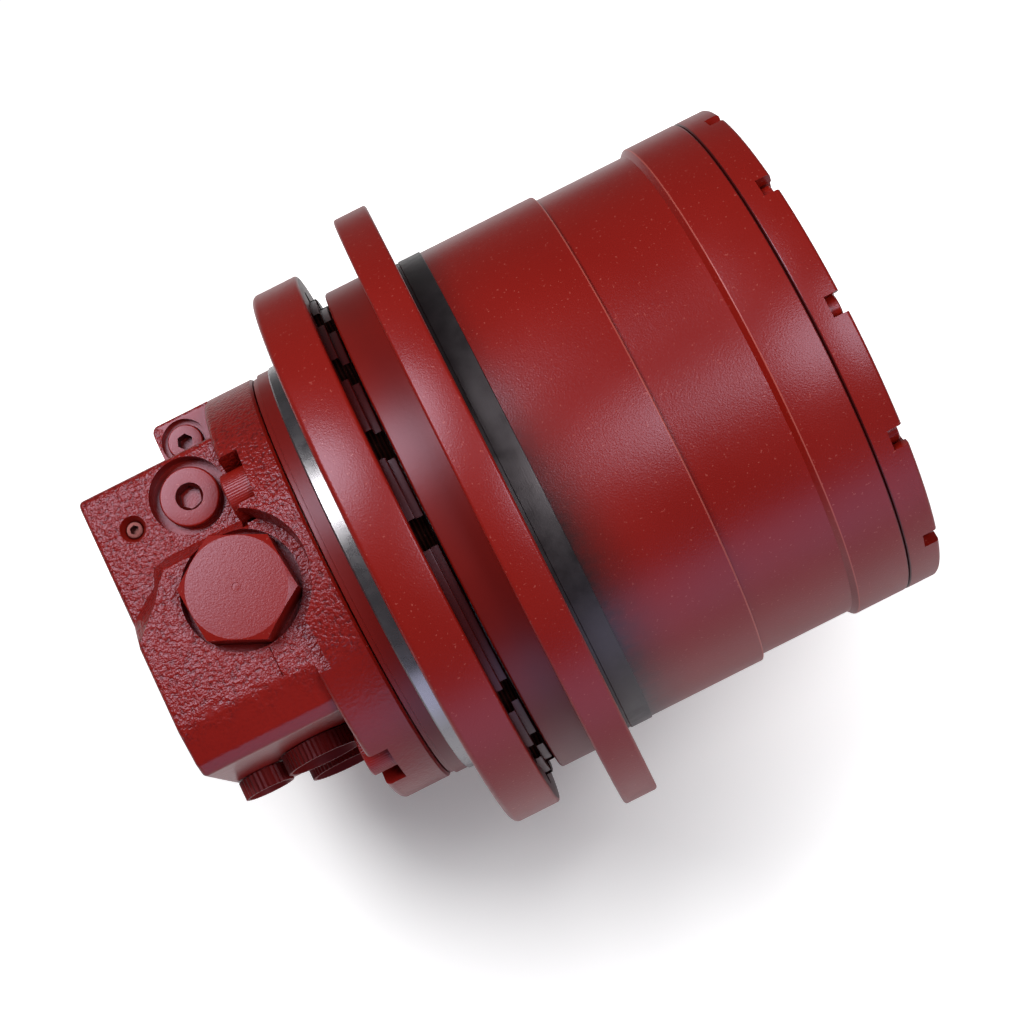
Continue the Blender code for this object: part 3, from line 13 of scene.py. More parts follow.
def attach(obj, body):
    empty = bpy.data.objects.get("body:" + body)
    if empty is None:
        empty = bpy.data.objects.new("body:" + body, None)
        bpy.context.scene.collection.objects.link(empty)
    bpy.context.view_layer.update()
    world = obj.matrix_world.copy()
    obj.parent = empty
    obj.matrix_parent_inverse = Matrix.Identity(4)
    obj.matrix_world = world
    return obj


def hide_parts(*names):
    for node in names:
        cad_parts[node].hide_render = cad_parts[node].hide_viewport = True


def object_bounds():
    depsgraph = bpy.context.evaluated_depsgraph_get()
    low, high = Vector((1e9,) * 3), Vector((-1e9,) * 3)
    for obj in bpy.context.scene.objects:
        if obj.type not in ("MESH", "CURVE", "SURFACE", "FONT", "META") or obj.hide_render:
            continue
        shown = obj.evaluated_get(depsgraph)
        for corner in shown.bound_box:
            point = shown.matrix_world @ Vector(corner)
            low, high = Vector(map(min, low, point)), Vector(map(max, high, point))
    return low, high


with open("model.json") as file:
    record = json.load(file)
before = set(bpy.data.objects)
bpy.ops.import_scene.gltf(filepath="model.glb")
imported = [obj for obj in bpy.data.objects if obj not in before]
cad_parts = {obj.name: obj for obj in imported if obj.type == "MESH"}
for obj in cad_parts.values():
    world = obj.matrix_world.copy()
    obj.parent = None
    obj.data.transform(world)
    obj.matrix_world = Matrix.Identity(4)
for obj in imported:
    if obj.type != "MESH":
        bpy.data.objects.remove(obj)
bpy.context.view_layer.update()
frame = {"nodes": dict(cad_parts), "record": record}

MM = 0.001
CUT_SLACK = 2e-6  # metres: points that a cut leaves this close are one
DRAW_SLACK = 0.002 * MM

# Sides of a full turn: housings, plugs, small holes
BIG = 180
MIDDLE = 72
SMALL = 36

# Turns that lay a piece, made along Z, onto its axis
FLAT = (0.0, 0.0, 0.0)
ALONG_X = (math.pi / 2, 0.0, math.pi / 2)
DOWN_Z = (math.pi, 0.0, 0.0)
DOWN_Y = (math.pi / 2, 0.0, 0.0)
ORIGIN = (0.0, 0.0, 0.0)
EVERYWHERE = (-math.inf, math.inf)

# The spindle, as in the CAD: outside from the joint to the lip, then its bores
JOINT_X = -17.3
NECK_R = 107.25
PILOT_X, PILOT_END_X, PILOT_R = -8.6, -1.2, 108.0
FRAME_FLANGE_R, FRAME_FLANGE_END = 141.5, 24.0
SHOULDER_X, SHOULDER_R = 27.0, 127.5
LIP_X, LIP_R = 30.7, 122.0
FRAME_HOLE_R, FRAME_HOLE_PCR = 7.75, 125.0
FRAME_HOLE_ANGLES = [19.5 + 20.0 * number for number in range(18) if number not in (5, 14)]
SCREW_HOLE_R = 7.3
SEAL_BORE_R, SEAL_DEPTH = 112.0, 10.0
BARREL_END, BARREL_R = 58.0, 90.0
NOSE_X, NOSE_R, NOSE_BORE_R, NOSE_FLOOR_X = 118.3, 84.0, 72.0, 106.3
SHAFT_HOLE_R = 18.0
BEARING_X, BEARING_R = 98.0, 26.0
MOTOR_BORE_END, MOTOR_BORE_R = 84.0, 58.0
BRAKE_BORE_END, BRAKE_BORE_R = 12.0, 66.0

# The hub
HUB_X, HUB_NECK_R = 31.8, 127.5
SPROCKET_X, SPROCKET_R = 51.0, 156.75
SPROCKET_FACE_X, SPROCKET_PILOT_R = 68.3, 125.5
SPROCKET_HOLE_R, SPROCKET_HOLE_PCR = 7.0, 141.0
DRUM_X, DRUM_R = 81.3, 124.8
WAIST_X, WAIST_R = 141.0, 122.25
BAND_X, BAND_R = 188.3, 125.0
HUB_END_X = 217.0
GEAR_SEAT_X, BEARING_CUP_R = 129.6, 108.0
THROAT_X, THROAT_R = 41.8, 93.0

# The end cover
COVER_X, COVER_FACE_X = 217.3, 233.3
SPIGOT_X, SPIGOT_R = 209.0, 111.7
GROOVE_X, GROOVE_END_X, GROOVE_R = 210.75, 214.25, 108.5
DISH_R, DISH_DEPTH = 100.0, 1.5
POCKET_PCR, POCKET_R, POCKET_DEPTH, SLOT_WIDTH = 114.0, 7.5, 7.3, 10.0
POCKET_ANGLES = [5.6 + 30.0 * number for number in range(12)]
OIL_PLUG_PCR, OIL_PLUG_HOLE_R, OIL_PLUG_SPOT_R, OIL_PLUG_SPOT_DEPTH = 80.0, 11.3, 15.3, 4.3
GAP_R = 112.5  # the joint's dark line starts outside the spigot

# The valve block
BLOCK_X = -17.6
BLOCK_BODY_X = -43.0
BLOCK_LEFT = -111.0
BLOCK_LOW_Y, BLOCK_HIGH_Y = -66.0, 74.0
FACE_Z, BACK_Z, PAD_Z = 76.5, -78.0, 87.5
PAD_LOW_Y = -44.4
BLOCK_FLANGE_R = 107.0
SIDE_LEFT, SIDE_HIGH_Y, SIDE_BACK_Z, SIDE_FACE_Z = -71.0, 100.2, -24.0, 40.0
SCREW_ANGLES = [64.4 + 90.0 * number for number in range(4)]
SCREW_PCR, SCREW_SEAT_X, SCREW_HEAD_X = 93.35, -33.5, -45.8
SCREW_HEAD_R, SCREW_SHANK_R, SCREW_POCKET_R = 11.6, 6.8, 14.4
CUT_END_Z = 108.0  # clear of everything on the block's front
SPOOL_AT = (-58.5, 0.4, 0.0)
SPOOL_SEAT_R = 27.9
RELIEF_AT = (-63.4, 53.2, 0.0)
SIDE_AT = (-58.7, 87.1, 0.0)
GAUGE_AT = (-92.6, 50.6, 0.0)
CAPS = (
    ("port_cap_main_upper", (-65.0, 0.0, 15.0), 19.5),
    ("port_cap_main_lower", (-64.0, 0.0, -47.0), 19.5),
    ("port_cap_pilot", (-97.5, 0.0, 2.0), 12.5),
)
CAP_STEM = 0.66  # of the cap's radius

# The photograph's view
CAMERA_TILT, CAMERA_ROLL = math.radians(10.5), math.radians(26.65)
CAMERA_DISTANCE, CAMERA_LENS = 1.068, 77.34
CAMERA_AIM_X, CAMERA_AIM_DROP = 65.2, 6.8


# Modelling by hand

def pick(piece, *others):
    """Select these pieces alone and make the first one active."""
    bpy.ops.object.select_all(action="DESELECT")
    for thing in (piece, *others):
        thing.select_set(True)
    bpy.context.view_layer.objects.active = piece


def start(name):
    """Name the primitive that was just added."""
    piece = bpy.context.object
    piece.name = name
    piece.data.name = name
    return piece


def settle(piece, turn=FLAT, at=ORIGIN):
    """Lay a piece that was made along Z onto its axis and put its place into its mesh."""
    pick(piece)
    piece.rotation_euler = turn
    piece.location = Vector(at) * MM
    bpy.ops.object.transform_apply(location=True, rotation=True, scale=True)
    return piece


def smooth(piece, degrees=32):
    """Smooth shading with sharp edges where the surface turns by more than this."""
    pick(piece)
    bpy.ops.object.shade_smooth_by_angle(angle=math.radians(degrees))
    return piece


def softened(profile, rounds=4):
    """A closed line of (first, second, rounding) with its corners turned into arcs."""
    line = []
    for number, (first, second, rounding) in enumerate(profile):
        here = Vector((first, second))
        if rounding <= 0:
            line.append(here)
            continue
        back = (Vector(profile[number - 1][:2]) - here).normalized()
        ahead = (Vector(profile[(number + 1) % len(profile)][:2]) - here).normalized()
        half = back.angle(ahead) / 2
        centre = here + (back + ahead).normalized() * rounding / math.sin(half)
        begin = here + back * rounding / math.tan(half) - centre
        end = here + ahead * rounding / math.tan(half) - centre
        for step in range(rounds + 1):
            spoke = begin.lerp(end, step / rounds).normalized() * rounding
            line.append(centre + spoke)
    return line


def drawn(name, places):
    """A closed line, drawn by extruding one point from place to place; the piece stays in edit mode."""
    bpy.ops.object.select_all(action="DESELECT")
    bpy.ops.mesh.primitive_plane_add(size=MM)
    piece = start(name)
    bpy.ops.object.mode_set(mode="EDIT")
    bpy.ops.mesh.select_mode(type="VERT")
    bpy.ops.mesh.select_all(action="SELECT")
    bpy.ops.mesh.merge(type="CENTER")
    bpy.ops.transform.translate(value=places[0] * MM)
    for before, after in zip(places, places[1:] + places[:1]):
        bpy.ops.mesh.extrude_region_move(TRANSFORM_OT_translate={"value": (after - before) * MM})
    bpy.ops.mesh.select_all(action="SELECT")
    bpy.ops.mesh.remove_doubles(threshold=DRAW_SLACK)
    bpy.ops.mesh.select_all(action="SELECT")
    return piece


def turned(name, profile, steps=BIG, turn=ALONG_X, at=ORIGIN):
    """A piece off the lathe: its profile of (place, radius, rounding) is drawn and spun."""
    piece = drawn(name, [Vector((point.y, 0, point.x)) for point in softened(profile)])
    bpy.ops.mesh.spin(steps=steps, angle=2 * math.pi, center=(0, 0, 0), axis=(0, 0, 1))
    bpy.ops.mesh.select_all(action="SELECT")
    bpy.ops.mesh.remove_doubles(threshold=DRAW_SLACK)
    bpy.ops.mesh.delete_loose()
    bpy.ops.mesh.select_all(action="SELECT")
    bpy.ops.mesh.normals_make_consistent(inside=False)
    bpy.ops.object.mode_set(mode="OBJECT")
    return smooth(settle(piece, turn, at))


def slab(name, outline, low, high, turn=ALONG_X, at=ORIGIN):
    """A straight-sided piece: its outline of (first, second, rounding) is drawn, filled and raised."""
    piece = drawn(name, [Vector((point.x, point.y, low)) for point in softened(outline)])
    bpy.ops.mesh.edge_face_add()
    bpy.ops.mesh.extrude_region_move(TRANSFORM_OT_translate={"value": (0, 0, (high - low) * MM)})
    bpy.ops.mesh.select_all(action="SELECT")
    bpy.ops.mesh.normals_make_consistent(inside=False)
    bpy.ops.object.mode_set(mode="OBJECT")
    return settle(piece, turn, at)


def rod(name, low, high, radius, steps=SMALL, turn=ALONG_X, at=ORIGIN, radius_high=None):
    """A straight or tapered rod between two places of its axis."""
    bpy.ops.object.select_all(action="DESELECT")
    bpy.ops.mesh.primitive_cone_add(
        vertices=steps,
        radius1=radius * MM,
        radius2=(radius if radius_high is None else radius_high) * MM,
        depth=(high - low) * MM,
        location=(0, 0, (low + high) / 2 * MM),
    )
    piece = start(name)
    bpy.ops.object.transform_apply(location=True, rotation=True, scale=True)
    return settle(piece, turn, at)


def box(name, low, high):
    """A straight box between two corners, as a cutter."""
    bpy.ops.object.select_all(action="DESELECT")
    low, high = Vector(low), Vector(high)
    bpy.ops.mesh.primitive_cube_add(size=1, location=(low + high) / 2 * MM)
    piece = start(name)
    piece.scale = (high - low) * MM
    bpy.ops.object.transform_apply(location=True, rotation=True, scale=True)
    return piece


def hexagon(across, turn=0.0):
    """The outline of a hexagon of this size across its flats, with a corner at the turn."""
    reach = across / 2 / math.cos(math.pi / 6)
    corners = [math.radians(turn + 60 * number) for number in range(6)]
    return [(reach * math.cos(angle), reach * math.sin(angle), 0.0) for angle in corners]


def ribbed(radius, ribs, depth):
    """The outline of a round edge with this many straight ribs."""
    outline = []
    for number in range(2 * ribs):
        angle = math.pi * number / ribs
        reach = radius - (depth if number % 2 else 0.0)
        outline.append((reach * math.cos(angle), reach * math.sin(angle), 0.0))
    return outline


def joined(name, pieces):
    """Several pieces as one object."""
    pick(pieces[0], *pieces[1:])
    bpy.ops.object.join()
    return start(name)


def copied(piece, name, turn=FLAT):
    """A copy of a finished piece with its own mesh, turned about the drive's origin."""
    pick(piece)
    bpy.ops.object.duplicate()
    return settle(start(name), turn)


def shaped(piece, tool, operation):
    """Cut a tool out of a piece, or weld it on, and throw the tool away."""
    pick(piece)
    change = piece.modifiers.new("shape", "BOOLEAN")
    change.operation = operation
    change.solver = "EXACT"
    change.object = tool
    bpy.ops.object.modifier_apply(modifier=change.name)
    bpy.data.objects.remove(tool, do_unlink=True)
    bpy.ops.object.mode_set(mode="EDIT")
    bpy.ops.mesh.select_mode(type="VERT")
    bpy.ops.mesh.select_all(action="SELECT")
    bpy.ops.mesh.remove_doubles(threshold=CUT_SLACK)
    bpy.ops.object.mode_set(mode="OBJECT")
    return piece


def choose(piece, kind, mode, test):
    """Go into edit mode with the points, edges or faces selected that pass a test."""
    pick(piece)
    bpy.ops.object.mode_set(mode="EDIT")
    bpy.ops.mesh.select_mode(type=mode)
    bpy.ops.mesh.select_all(action="DESELECT")
    bpy.ops.object.mode_set(mode="OBJECT")
    for part in getattr(piece.data, kind):
        part.select = test(part)
    bpy.ops.object.mode_set(mode="EDIT")


def bevelled(piece, width, test):
    """Round the edges whose two ends pass a test, given as places in millimetres."""
    def both_ends(edge):
        return all(test(piece.data.vertices[end].co / MM) for end in edge.vertices)

    choose(piece, "edges", "EDGE", both_ends)
    bpy.ops.mesh.bevel(offset=width * MM, segments=3, affect="EDGES", clamp_overlap=True)
    bpy.ops.object.mode_set(mode="OBJECT")


def nudged(piece, place, shift):
    """Move the point at a place by a shift, both in millimetres."""
    choose(piece, "vertices", "VERT", lambda point: (point.co / MM - Vector(place)).length < 0.05)
    bpy.ops.transform.translate(value=Vector(shift) * MM)
    bpy.ops.object.mode_set(mode="OBJECT")


def dressed(piece, body, slot, finish, *nodes):
    """Give a piece its finish, hide the CAD nodes that it stands for and put it on the body that it rides on."""
    piece.data.materials.clear()
    piece.data.materials.append(finish)
    for face in piece.data.polygons:
        face.material_index = 0
    if nodes:
        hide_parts(*nodes)
    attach(piece, body)
    return piece


def patch(piece, finish, test):
    """Give the faces that pass a test of their middle, in millimetres, and normal another finish."""
    piece.data.materials.append(finish)
    last = len(piece.data.materials) - 1
    for face in piece.data.polygons:
        if test(face.center / MM, face.normal):
            face.material_index = last


def ring_patch(piece, finish, stations, radii=EVERYWHERE):
    """The same for the faces whose middle lies between two stations of the drive axis and two radii."""
    low, high = stations
    inner, outer = radii
    patch(piece, finish, lambda at, way: low < at.x < high and inner < beside(at, ORIGIN) < outer)


def thread_patch(piece, holes, radius):
    """The same for the walls of holes that run along the drive axis."""
    near = radius + 0.1
    patch(piece, THREADS, lambda at, way: abs(way.x) < 0.1 and any(beside(at, hole) < near for hole in holes))


def circle_place(angle, radius, x=0.0):
    """A place beside the drive axis: 0 degrees is +Y and 90 degrees is +Z."""
    turn = math.radians(angle)
    return (x, radius * math.cos(turn), radius * math.sin(turn))


def beside(place, at):
    """How far a place is from the drive axis, or from a line along X through another place."""
    return math.hypot(place.y - at[1], place.z - at[2])


def over(place, at, reach):
    """Whether a place is within reach of a line along Z through another place."""
    return math.hypot(place.x - at[0], place.y - at[1]) < reach


# Finishes

def colour(text):
    """An sRGB hex value as the linear colour that a shader takes."""
    parts = [int(text[place : place + 2], 16) / 255 for place in (0, 2, 4)]
    return (*(part / 12.92 if part <= 0.04045 else ((part + 0.055) / 1.055) ** 2.4 for part in parts), 1.0)


def node(tree, kind, settings=(), values=(), links=()):
    """Add a node, set its properties and input values, and link its inputs from (socket, source)."""
    added = tree.nodes.new(kind)
    for name, value in dict(settings).items():
        setattr(added, name, value)
    for name, value in dict(values).items():
        added.inputs[name].default_value = value
    for name, source in dict(links).items():
        tree.links.new(source, added.inputs[name])
    return added


def surface(name, roughness, metallic=0.0, specular=0.5, tint="FFFFFF"):
    """A new material, its node tree and its shader."""
    made = bpy.data.materials.new(name)
    made.use_nodes = True
    shader = made.node_tree.nodes["Principled BSDF"]
    shader.inputs["Specular Tint"].default_value = colour(tint)
    shader.inputs["Roughness"].default_value = roughness
    shader.inputs["Metallic"].default_value = metallic
    shader.inputs["Specular IOR Level"].default_value = specular
    return made, made.node_tree, shader


def noise(tree, place, size, detail=2.0, roughness=0.5, stretch=(1.0, 1.0, 1.0)):
    """A noise whose grains are about this many millimetres wide."""
    mapped = node(tree, "ShaderNodeMapping", values={"Scale": stretch}, links={"Vector": place.outputs["Object"]})
    values = {"Scale": 1 / (size * MM), "Detail": detail, "Roughness": roughness}
    return node(tree, "ShaderNodeTexNoise", values=values, links={"Vector": mapped.outputs["Vector"]})


def blended(tree, share, first, second):
    """A colour between two others, each a hex value or a socket."""
    mix = node(tree, "ShaderNodeMix", {"data_type": "RGBA"}, links={0: share})
    for socket, value in ((6, first), (7, second)):
        if isinstance(value, str):
            mix.inputs[socket].default_value = colour(value)
        else:
            tree.links.new(value, mix.inputs[socket])
    return mix.outputs[2]


def between(tree, source, low, high, out_low=0.0, out_high=1.0):
    """A value moved from one range to another and held inside it."""
    values = {"From Min": low, "From Max": high, "To Min": out_low, "To Max": out_high}
    return node(tree, "ShaderNodeMapRange", values=values, links={"Value": source}).outputs["Result"]


def relief(tree, height, depth, strength=1.0, under=None):
    """A bump of this depth in millimetres, laid over another one."""
    links = {"Height": height}
    if under is not None:
        links["Normal"] = under
    values = {"Strength": strength, "Distance": depth * MM}
    return node(tree, "ShaderNodeBump", values=values, links=links).outputs["Normal"]


def times(tree, first, second):
    """Two values multiplied."""
    return node(tree, "ShaderNodeMath", {"operation": "MULTIPLY"}, links={0: first, 1: second}).outputs[0]


# The enamel's gloss is slightly blue, as the soft boxes look in it
SHEEN = "ECE7FF"


def red_coat(name):
    """The enamel of machined faces, all but its colour's last layer: dust specks, uneven gloss and orange peel."""
    made, tree, shader = surface(name, 0.3, specular=0.5, tint=SHEEN)
    place = node(tree, "ShaderNodeTexCoord")
    cloud = noise(tree, place, 60.0, 3.0)
    dust = noise(tree, place, 1.3, 1.0)
    base = blended(tree, cloud.outputs["Fac"], "84140A", "921A0E")
    specks = between(tree, dust.outputs["Fac"], 0.7, 0.75)
    red = blended(tree, specks, base, "A5453C")
    rough = between(tree, cloud.outputs["Fac"], 0.3, 0.7, 0.27, 0.33)
    tree.links.new(rough, shader.inputs["Roughness"])
    peel = noise(tree, place, 0.8, 1.0)
    tree.links.new(relief(tree, peel.outputs["Fac"], 0.11, 0.6), shader.inputs["Normal"])
    return made, tree, shader, place, red


def sprayed_red():
    """Deep red synthetic enamel, sprayed in one coat on machined iron: satin gloss with a faint orange peel."""
    made, tree, shader, place, red = red_coat("red_enamel_sprayed")
    tree.links.new(red, shader.inputs["Base Color"])
    return made


def shade_and_highlight_red(name, first, second):
    """The same enamel in two given colours, a little rougher and with a shallower, coarser peel: painted shade between
    the flanges, in the seal gap and in the sockets, the dark joints, and painted highlights on turned edges.
    """
    made, tree, shader = surface(name, 0.34, specular=0.45, tint=SHEEN)
    place = node(tree, "ShaderNodeTexCoord")
    cloud = noise(tree, place, 30.0, 3.0)
    tree.links.new(blended(tree, cloud.outputs["Fac"], first, second), shader.inputs["Base Color"])
    peel = noise(tree, place, 1.6, 2.0)
    tree.links.new(relief(tree, peel.outputs["Fac"], 0.06, 0.5), shader.inputs["Normal"])
    return made


def hub_red_with_painted_shade():
    """The same enamel on the hub, with painted shade beside the dark pilot: a dark grey laid on the drum that fades
    over 32 mm in cloudy patches, strongest on its low side.
    """
    made, tree, shader, place, red = red_coat("red_enamel_on_hub_with_painted_shade")
    split = node(tree, "ShaderNodeSeparateXYZ", links={"Vector": place.outputs["Object"]})
    edge = between(tree, split.outputs["X"], DRUM_X * MM, (DRUM_X + 32) * MM, 1.0, 0.0)
    after = between(tree, split.outputs["X"], (DRUM_X - 0.4) * MM, (DRUM_X - 0.2) * MM)
    low = between(tree, split.outputs["Y"], 0.04, -0.05, 0.15, 1.0)
    fine = noise(tree, place, 5.0, 4.0, 0.6)
    cloudy = between(tree, fine.outputs["Fac"], 0.3, 0.7, 0.8, 1.1)
    # Painted shade: a dark grey next to the pilot, fading to the right and strongest towards -Y
    painted_shade = edge
    for factor in (edge, low, after, cloudy):
        painted_shade = times(tree, painted_shade, factor)
    tree.links.new(blended(tree, painted_shade, red, "3A2422"), shader.inputs["Base Color"])
    return made


def cast_red():
    """The same enamel on an as-cast skin: sand grain of 1 to 2 mm that glints on its high spots."""
    made, tree, shader = surface("red_enamel_on_sand_casting", 0.3, specular=0.5, tint=SHEEN)
    place = node(tree, "ShaderNodeTexCoord")
    cloud = noise(tree, place, 40.0, 3.0)
    split = node(tree, "ShaderNodeSeparateXYZ", links={"Vector": place.outputs["Object"]})
    grain = noise(tree, place, 1.7, 1.5, 0.5)
    waves = noise(tree, place, 9.0, 2.0, 0.5)
    # Past a wavy line near the -Y side the casting was ground, and its grain is faint
    edge = node(tree, "ShaderNodeMath", {"operation": "MULTIPLY_ADD"}, {1: 0.03, 2: -0.015}, {0: waves.outputs["Fac"]})
    shifted = node(tree, "ShaderNodeMath", {"operation": "ADD"}, links={0: split.outputs["Y"], 1: edge.outputs[0]})
    rubbed = between(tree, shifted.outputs[0], -0.052, -0.04, 0.18, 1.0)
    proud = times(tree, grain.outputs["Fac"], rubbed)
    base = blended(tree, cloud.outputs["Fac"], "82140C", "8F1A10")
    hollow = between(tree, grain.outputs["Fac"], 0.32, 0.5, 1.0, 0.0)
    deep = times(tree, hollow, rubbed)
    tree.links.new(blended(tree, deep, base, "6A100C"), shader.inputs["Base Color"])
    swell = relief(tree, waves.outputs["Fac"], 0.5, 0.4)
    tree.links.new(relief(tree, proud, 0.9, 1.0, swell), shader.inputs["Normal"])
    return made


def bright_pilot():
    """Turned steel left bare for the frame's bore: bright, with fine tool marks round the axis."""
    made, tree, shader = surface("bright_turned_steel", 0.26, 1.0)
    place = node(tree, "ShaderNodeTexCoord")
    marks = noise(tree, place, 1.0, 2.0, 0.5, (4.0, 0.02, 0.02))
    stains = noise(tree, place, 14.0, 4.0, 0.6)
    tree.links.new(blended(tree, stains.outputs["Fac"], "858286", "A8A6A9"), shader.inputs["Base Color"])
    tree.links.new(between(tree, stains.outputs["Fac"], 0.3, 0.7, 0.2, 0.34), shader.inputs["Roughness"])
    tree.links.new(relief(tree, marks.outputs["Fac"], 0.02, 0.6), shader.inputs["Normal"])
    return made


def dark_pilot():
    """Bare iron of the sprocket's seat, oiled and darkened, with turning marks."""
    made, tree, shader = surface("darkened_turned_iron", 0.36, 0.75)
    place = node(tree, "ShaderNodeTexCoord")
    marks = noise(tree, place, 1.2, 2.0, 0.5, (3.0, 0.05, 0.05))
    stains = noise(tree, place, 9.0, 5.0, 0.6)
    tree.links.new(blended(tree, stains.outputs["Fac"], "3C3638", "565154"), shader.inputs["Base Color"])
    tree.links.new(between(tree, stains.outputs["Fac"], 0.3, 0.7, 0.28, 0.46), shader.inputs["Roughness"])
    tree.links.new(relief(tree, marks.outputs["Fac"], 0.04, 0.6), shader.inputs["Normal"])
    return made


def threads():
    """The tapped wall of a screw hole: dark cut iron with ridges every 2 mm along the drive axis."""
    made, tree, shader = surface("tapped_iron", 0.4, 0.8)
    place = node(tree, "ShaderNodeTexCoord")
    ridges = node(
        tree,
        "ShaderNodeTexWave",
        {"wave_type": "BANDS", "bands_direction": "X", "wave_profile": "TRI"},
        {"Scale": 2 * math.pi / 20 / (2.0 * MM)},
        {"Vector": place.outputs["Object"]},
    )
    # The crests are painted paler and the roots darker: painted highlight and shade on the thread, laid over its bump
    tree.links.new(blended(tree, ridges.outputs["Fac"], "1C0C0A", "5A2A24"), shader.inputs["Base Color"])
    tree.links.new(relief(tree, ridges.outputs["Fac"], 0.9), shader.inputs["Normal"])
    return made


def painted_plastic():
    """Ribbed polythene port caps, painted over with the rest: duller red with a dusty film."""
    made, tree, shader = surface("red_paint_on_polythene", 0.5, specular=0.4, tint=SHEEN)
    place = node(tree, "ShaderNodeTexCoord")
    cloud = noise(tree, place, 18.0, 3.0)
    grain = noise(tree, place, 1.5, 2.0)
    tree.links.new(blended(tree, cloud.outputs["Fac"], "6E120D", "821811"), shader.inputs["Base Color"])
    tree.links.new(between(tree, grain.outputs["Fac"], 0.3, 0.7, 0.42, 0.58), shader.inputs["Roughness"])
    tree.links.new(relief(tree, grain.outputs["Fac"], 0.06, 0.5), shader.inputs["Normal"])
    return made


def worked_metal(name, first, second, metallic, low, high, grain, depth):
    """A metal with cloudy colour, uneven gloss and a grain of this many millimetres."""
    made, tree, shader = surface(name, high, metallic)
    place = node(tree, "ShaderNodeTexCoord")
    cloud = noise(tree, place, 12.0, 4.0, 0.6)
    fine = noise(tree, place, grain, 2.0)
    tree.links.new(blended(tree, cloud.outputs["Fac"], first, second), shader.inputs["Base Color"])
    tree.links.new(between(tree, cloud.outputs["Fac"], 0.3, 0.7, low, high), shader.inputs["Roughness"])
    tree.links.new(relief(tree, fine.outputs["Fac"], depth, 0.5), shader.inputs["Normal"])
    return made


RED = sprayed_red()
HUB_RED_WITH_PAINTED_SHADE = hub_red_with_painted_shade()
CAST_RED = cast_red()
# Between the flanges the red is painted darker and flatter: painted shade on the necks, where the flanges keep the
# light off
NECK_SHADE_RED = shade_and_highlight_red("red_enamel_painted_shade_on_necks", "74130B", "82180E")
# Turned edges painted pale: thin lines round the drum, a painted highlight on the rounded steps
EDGE_HIGHLIGHT_RED = shade_and_highlight_red("red_enamel_painted_highlight_on_edges", "A8433A", "BC6056")
# Nearly black red: the dark lines of the joints, and painted shade in the seal gap and in the plug sockets
JOINT_AND_SHADE_RED = shade_and_highlight_red("red_enamel_dark_joints_and_painted_shade", "3C0A07", "560F0B")
BRIGHT = bright_pilot()
DARK = dark_pilot()
THREADS = threads()
CAP_RED = painted_plastic()
# Ground steel of screws and races: clear, faintly scratched
STEEL = worked_metal("ground_steel", "A9ABAE", "C4C5C6", 1.0, 0.22, 0.34, 0.8, 0.02)
# Small plug in the casting: steel darkened by oil, with red paint mist on it
DULL_STEEL = worked_metal("oiled_steel_with_red_mist", "4A1A18", "6A2A26", 0.5, 0.3, 0.42, 0.8, 0.02)
# Case hardened gear steel: darker from the furnace, ground on the flanks
GEAR_STEEL = worked_metal("case_hardened_gear_steel", "77797C", "94969A", 1.0, 0.3, 0.42, 1.0, 0.03)
# Machined iron inside the housings: oiled, grey, with open grain
BORED_IRON = worked_metal("bored_ductile_iron", "6E6F70", "8A8B8C", 1.0, 0.34, 0.48, 1.2, 0.05)
# Bare iron castings: dark and rough from the sand
CAST_IRON = worked_metal("bare_cast_iron", "3C3D3F", "525355", 0.8, 0.5, 0.66, 2.0, 0.4)
# Bronze of cages, bushes and port plate: warm, slightly tarnished
BRONZE = worked_metal("bearing_bronze_turned", "A67A3C", "C09650", 1.0, 0.28, 0.42, 0.9, 0.03)
# Black nitrile rubber: dull, faintly bloomed
RUBBER = worked_metal("black_nitrile", "141414", "222222", 0.0, 0.6, 0.75, 1.2, 0.06)
# Pressed friction paper: brown, open and dull
LINING = worked_metal("friction_paper", "4A3D30", "5E4F3F", 0.0, 0.75, 0.9, 1.5, 0.15)

NODE_FINISHES = {
    "machined_steel": STEEL,
    "case_hardened_steel": GEAR_STEEL,
    "cast_iron": CAST_IRON,
    "bearing_bronze": BRONZE,
    "nitrile_rubber": RUBBER,
    "friction_lining": LINING,
    "red_enamel": RED,
    "red_enamel_on_casting": CAST_RED,
    "red_painted_cap": CAP_RED,
}


# The housings

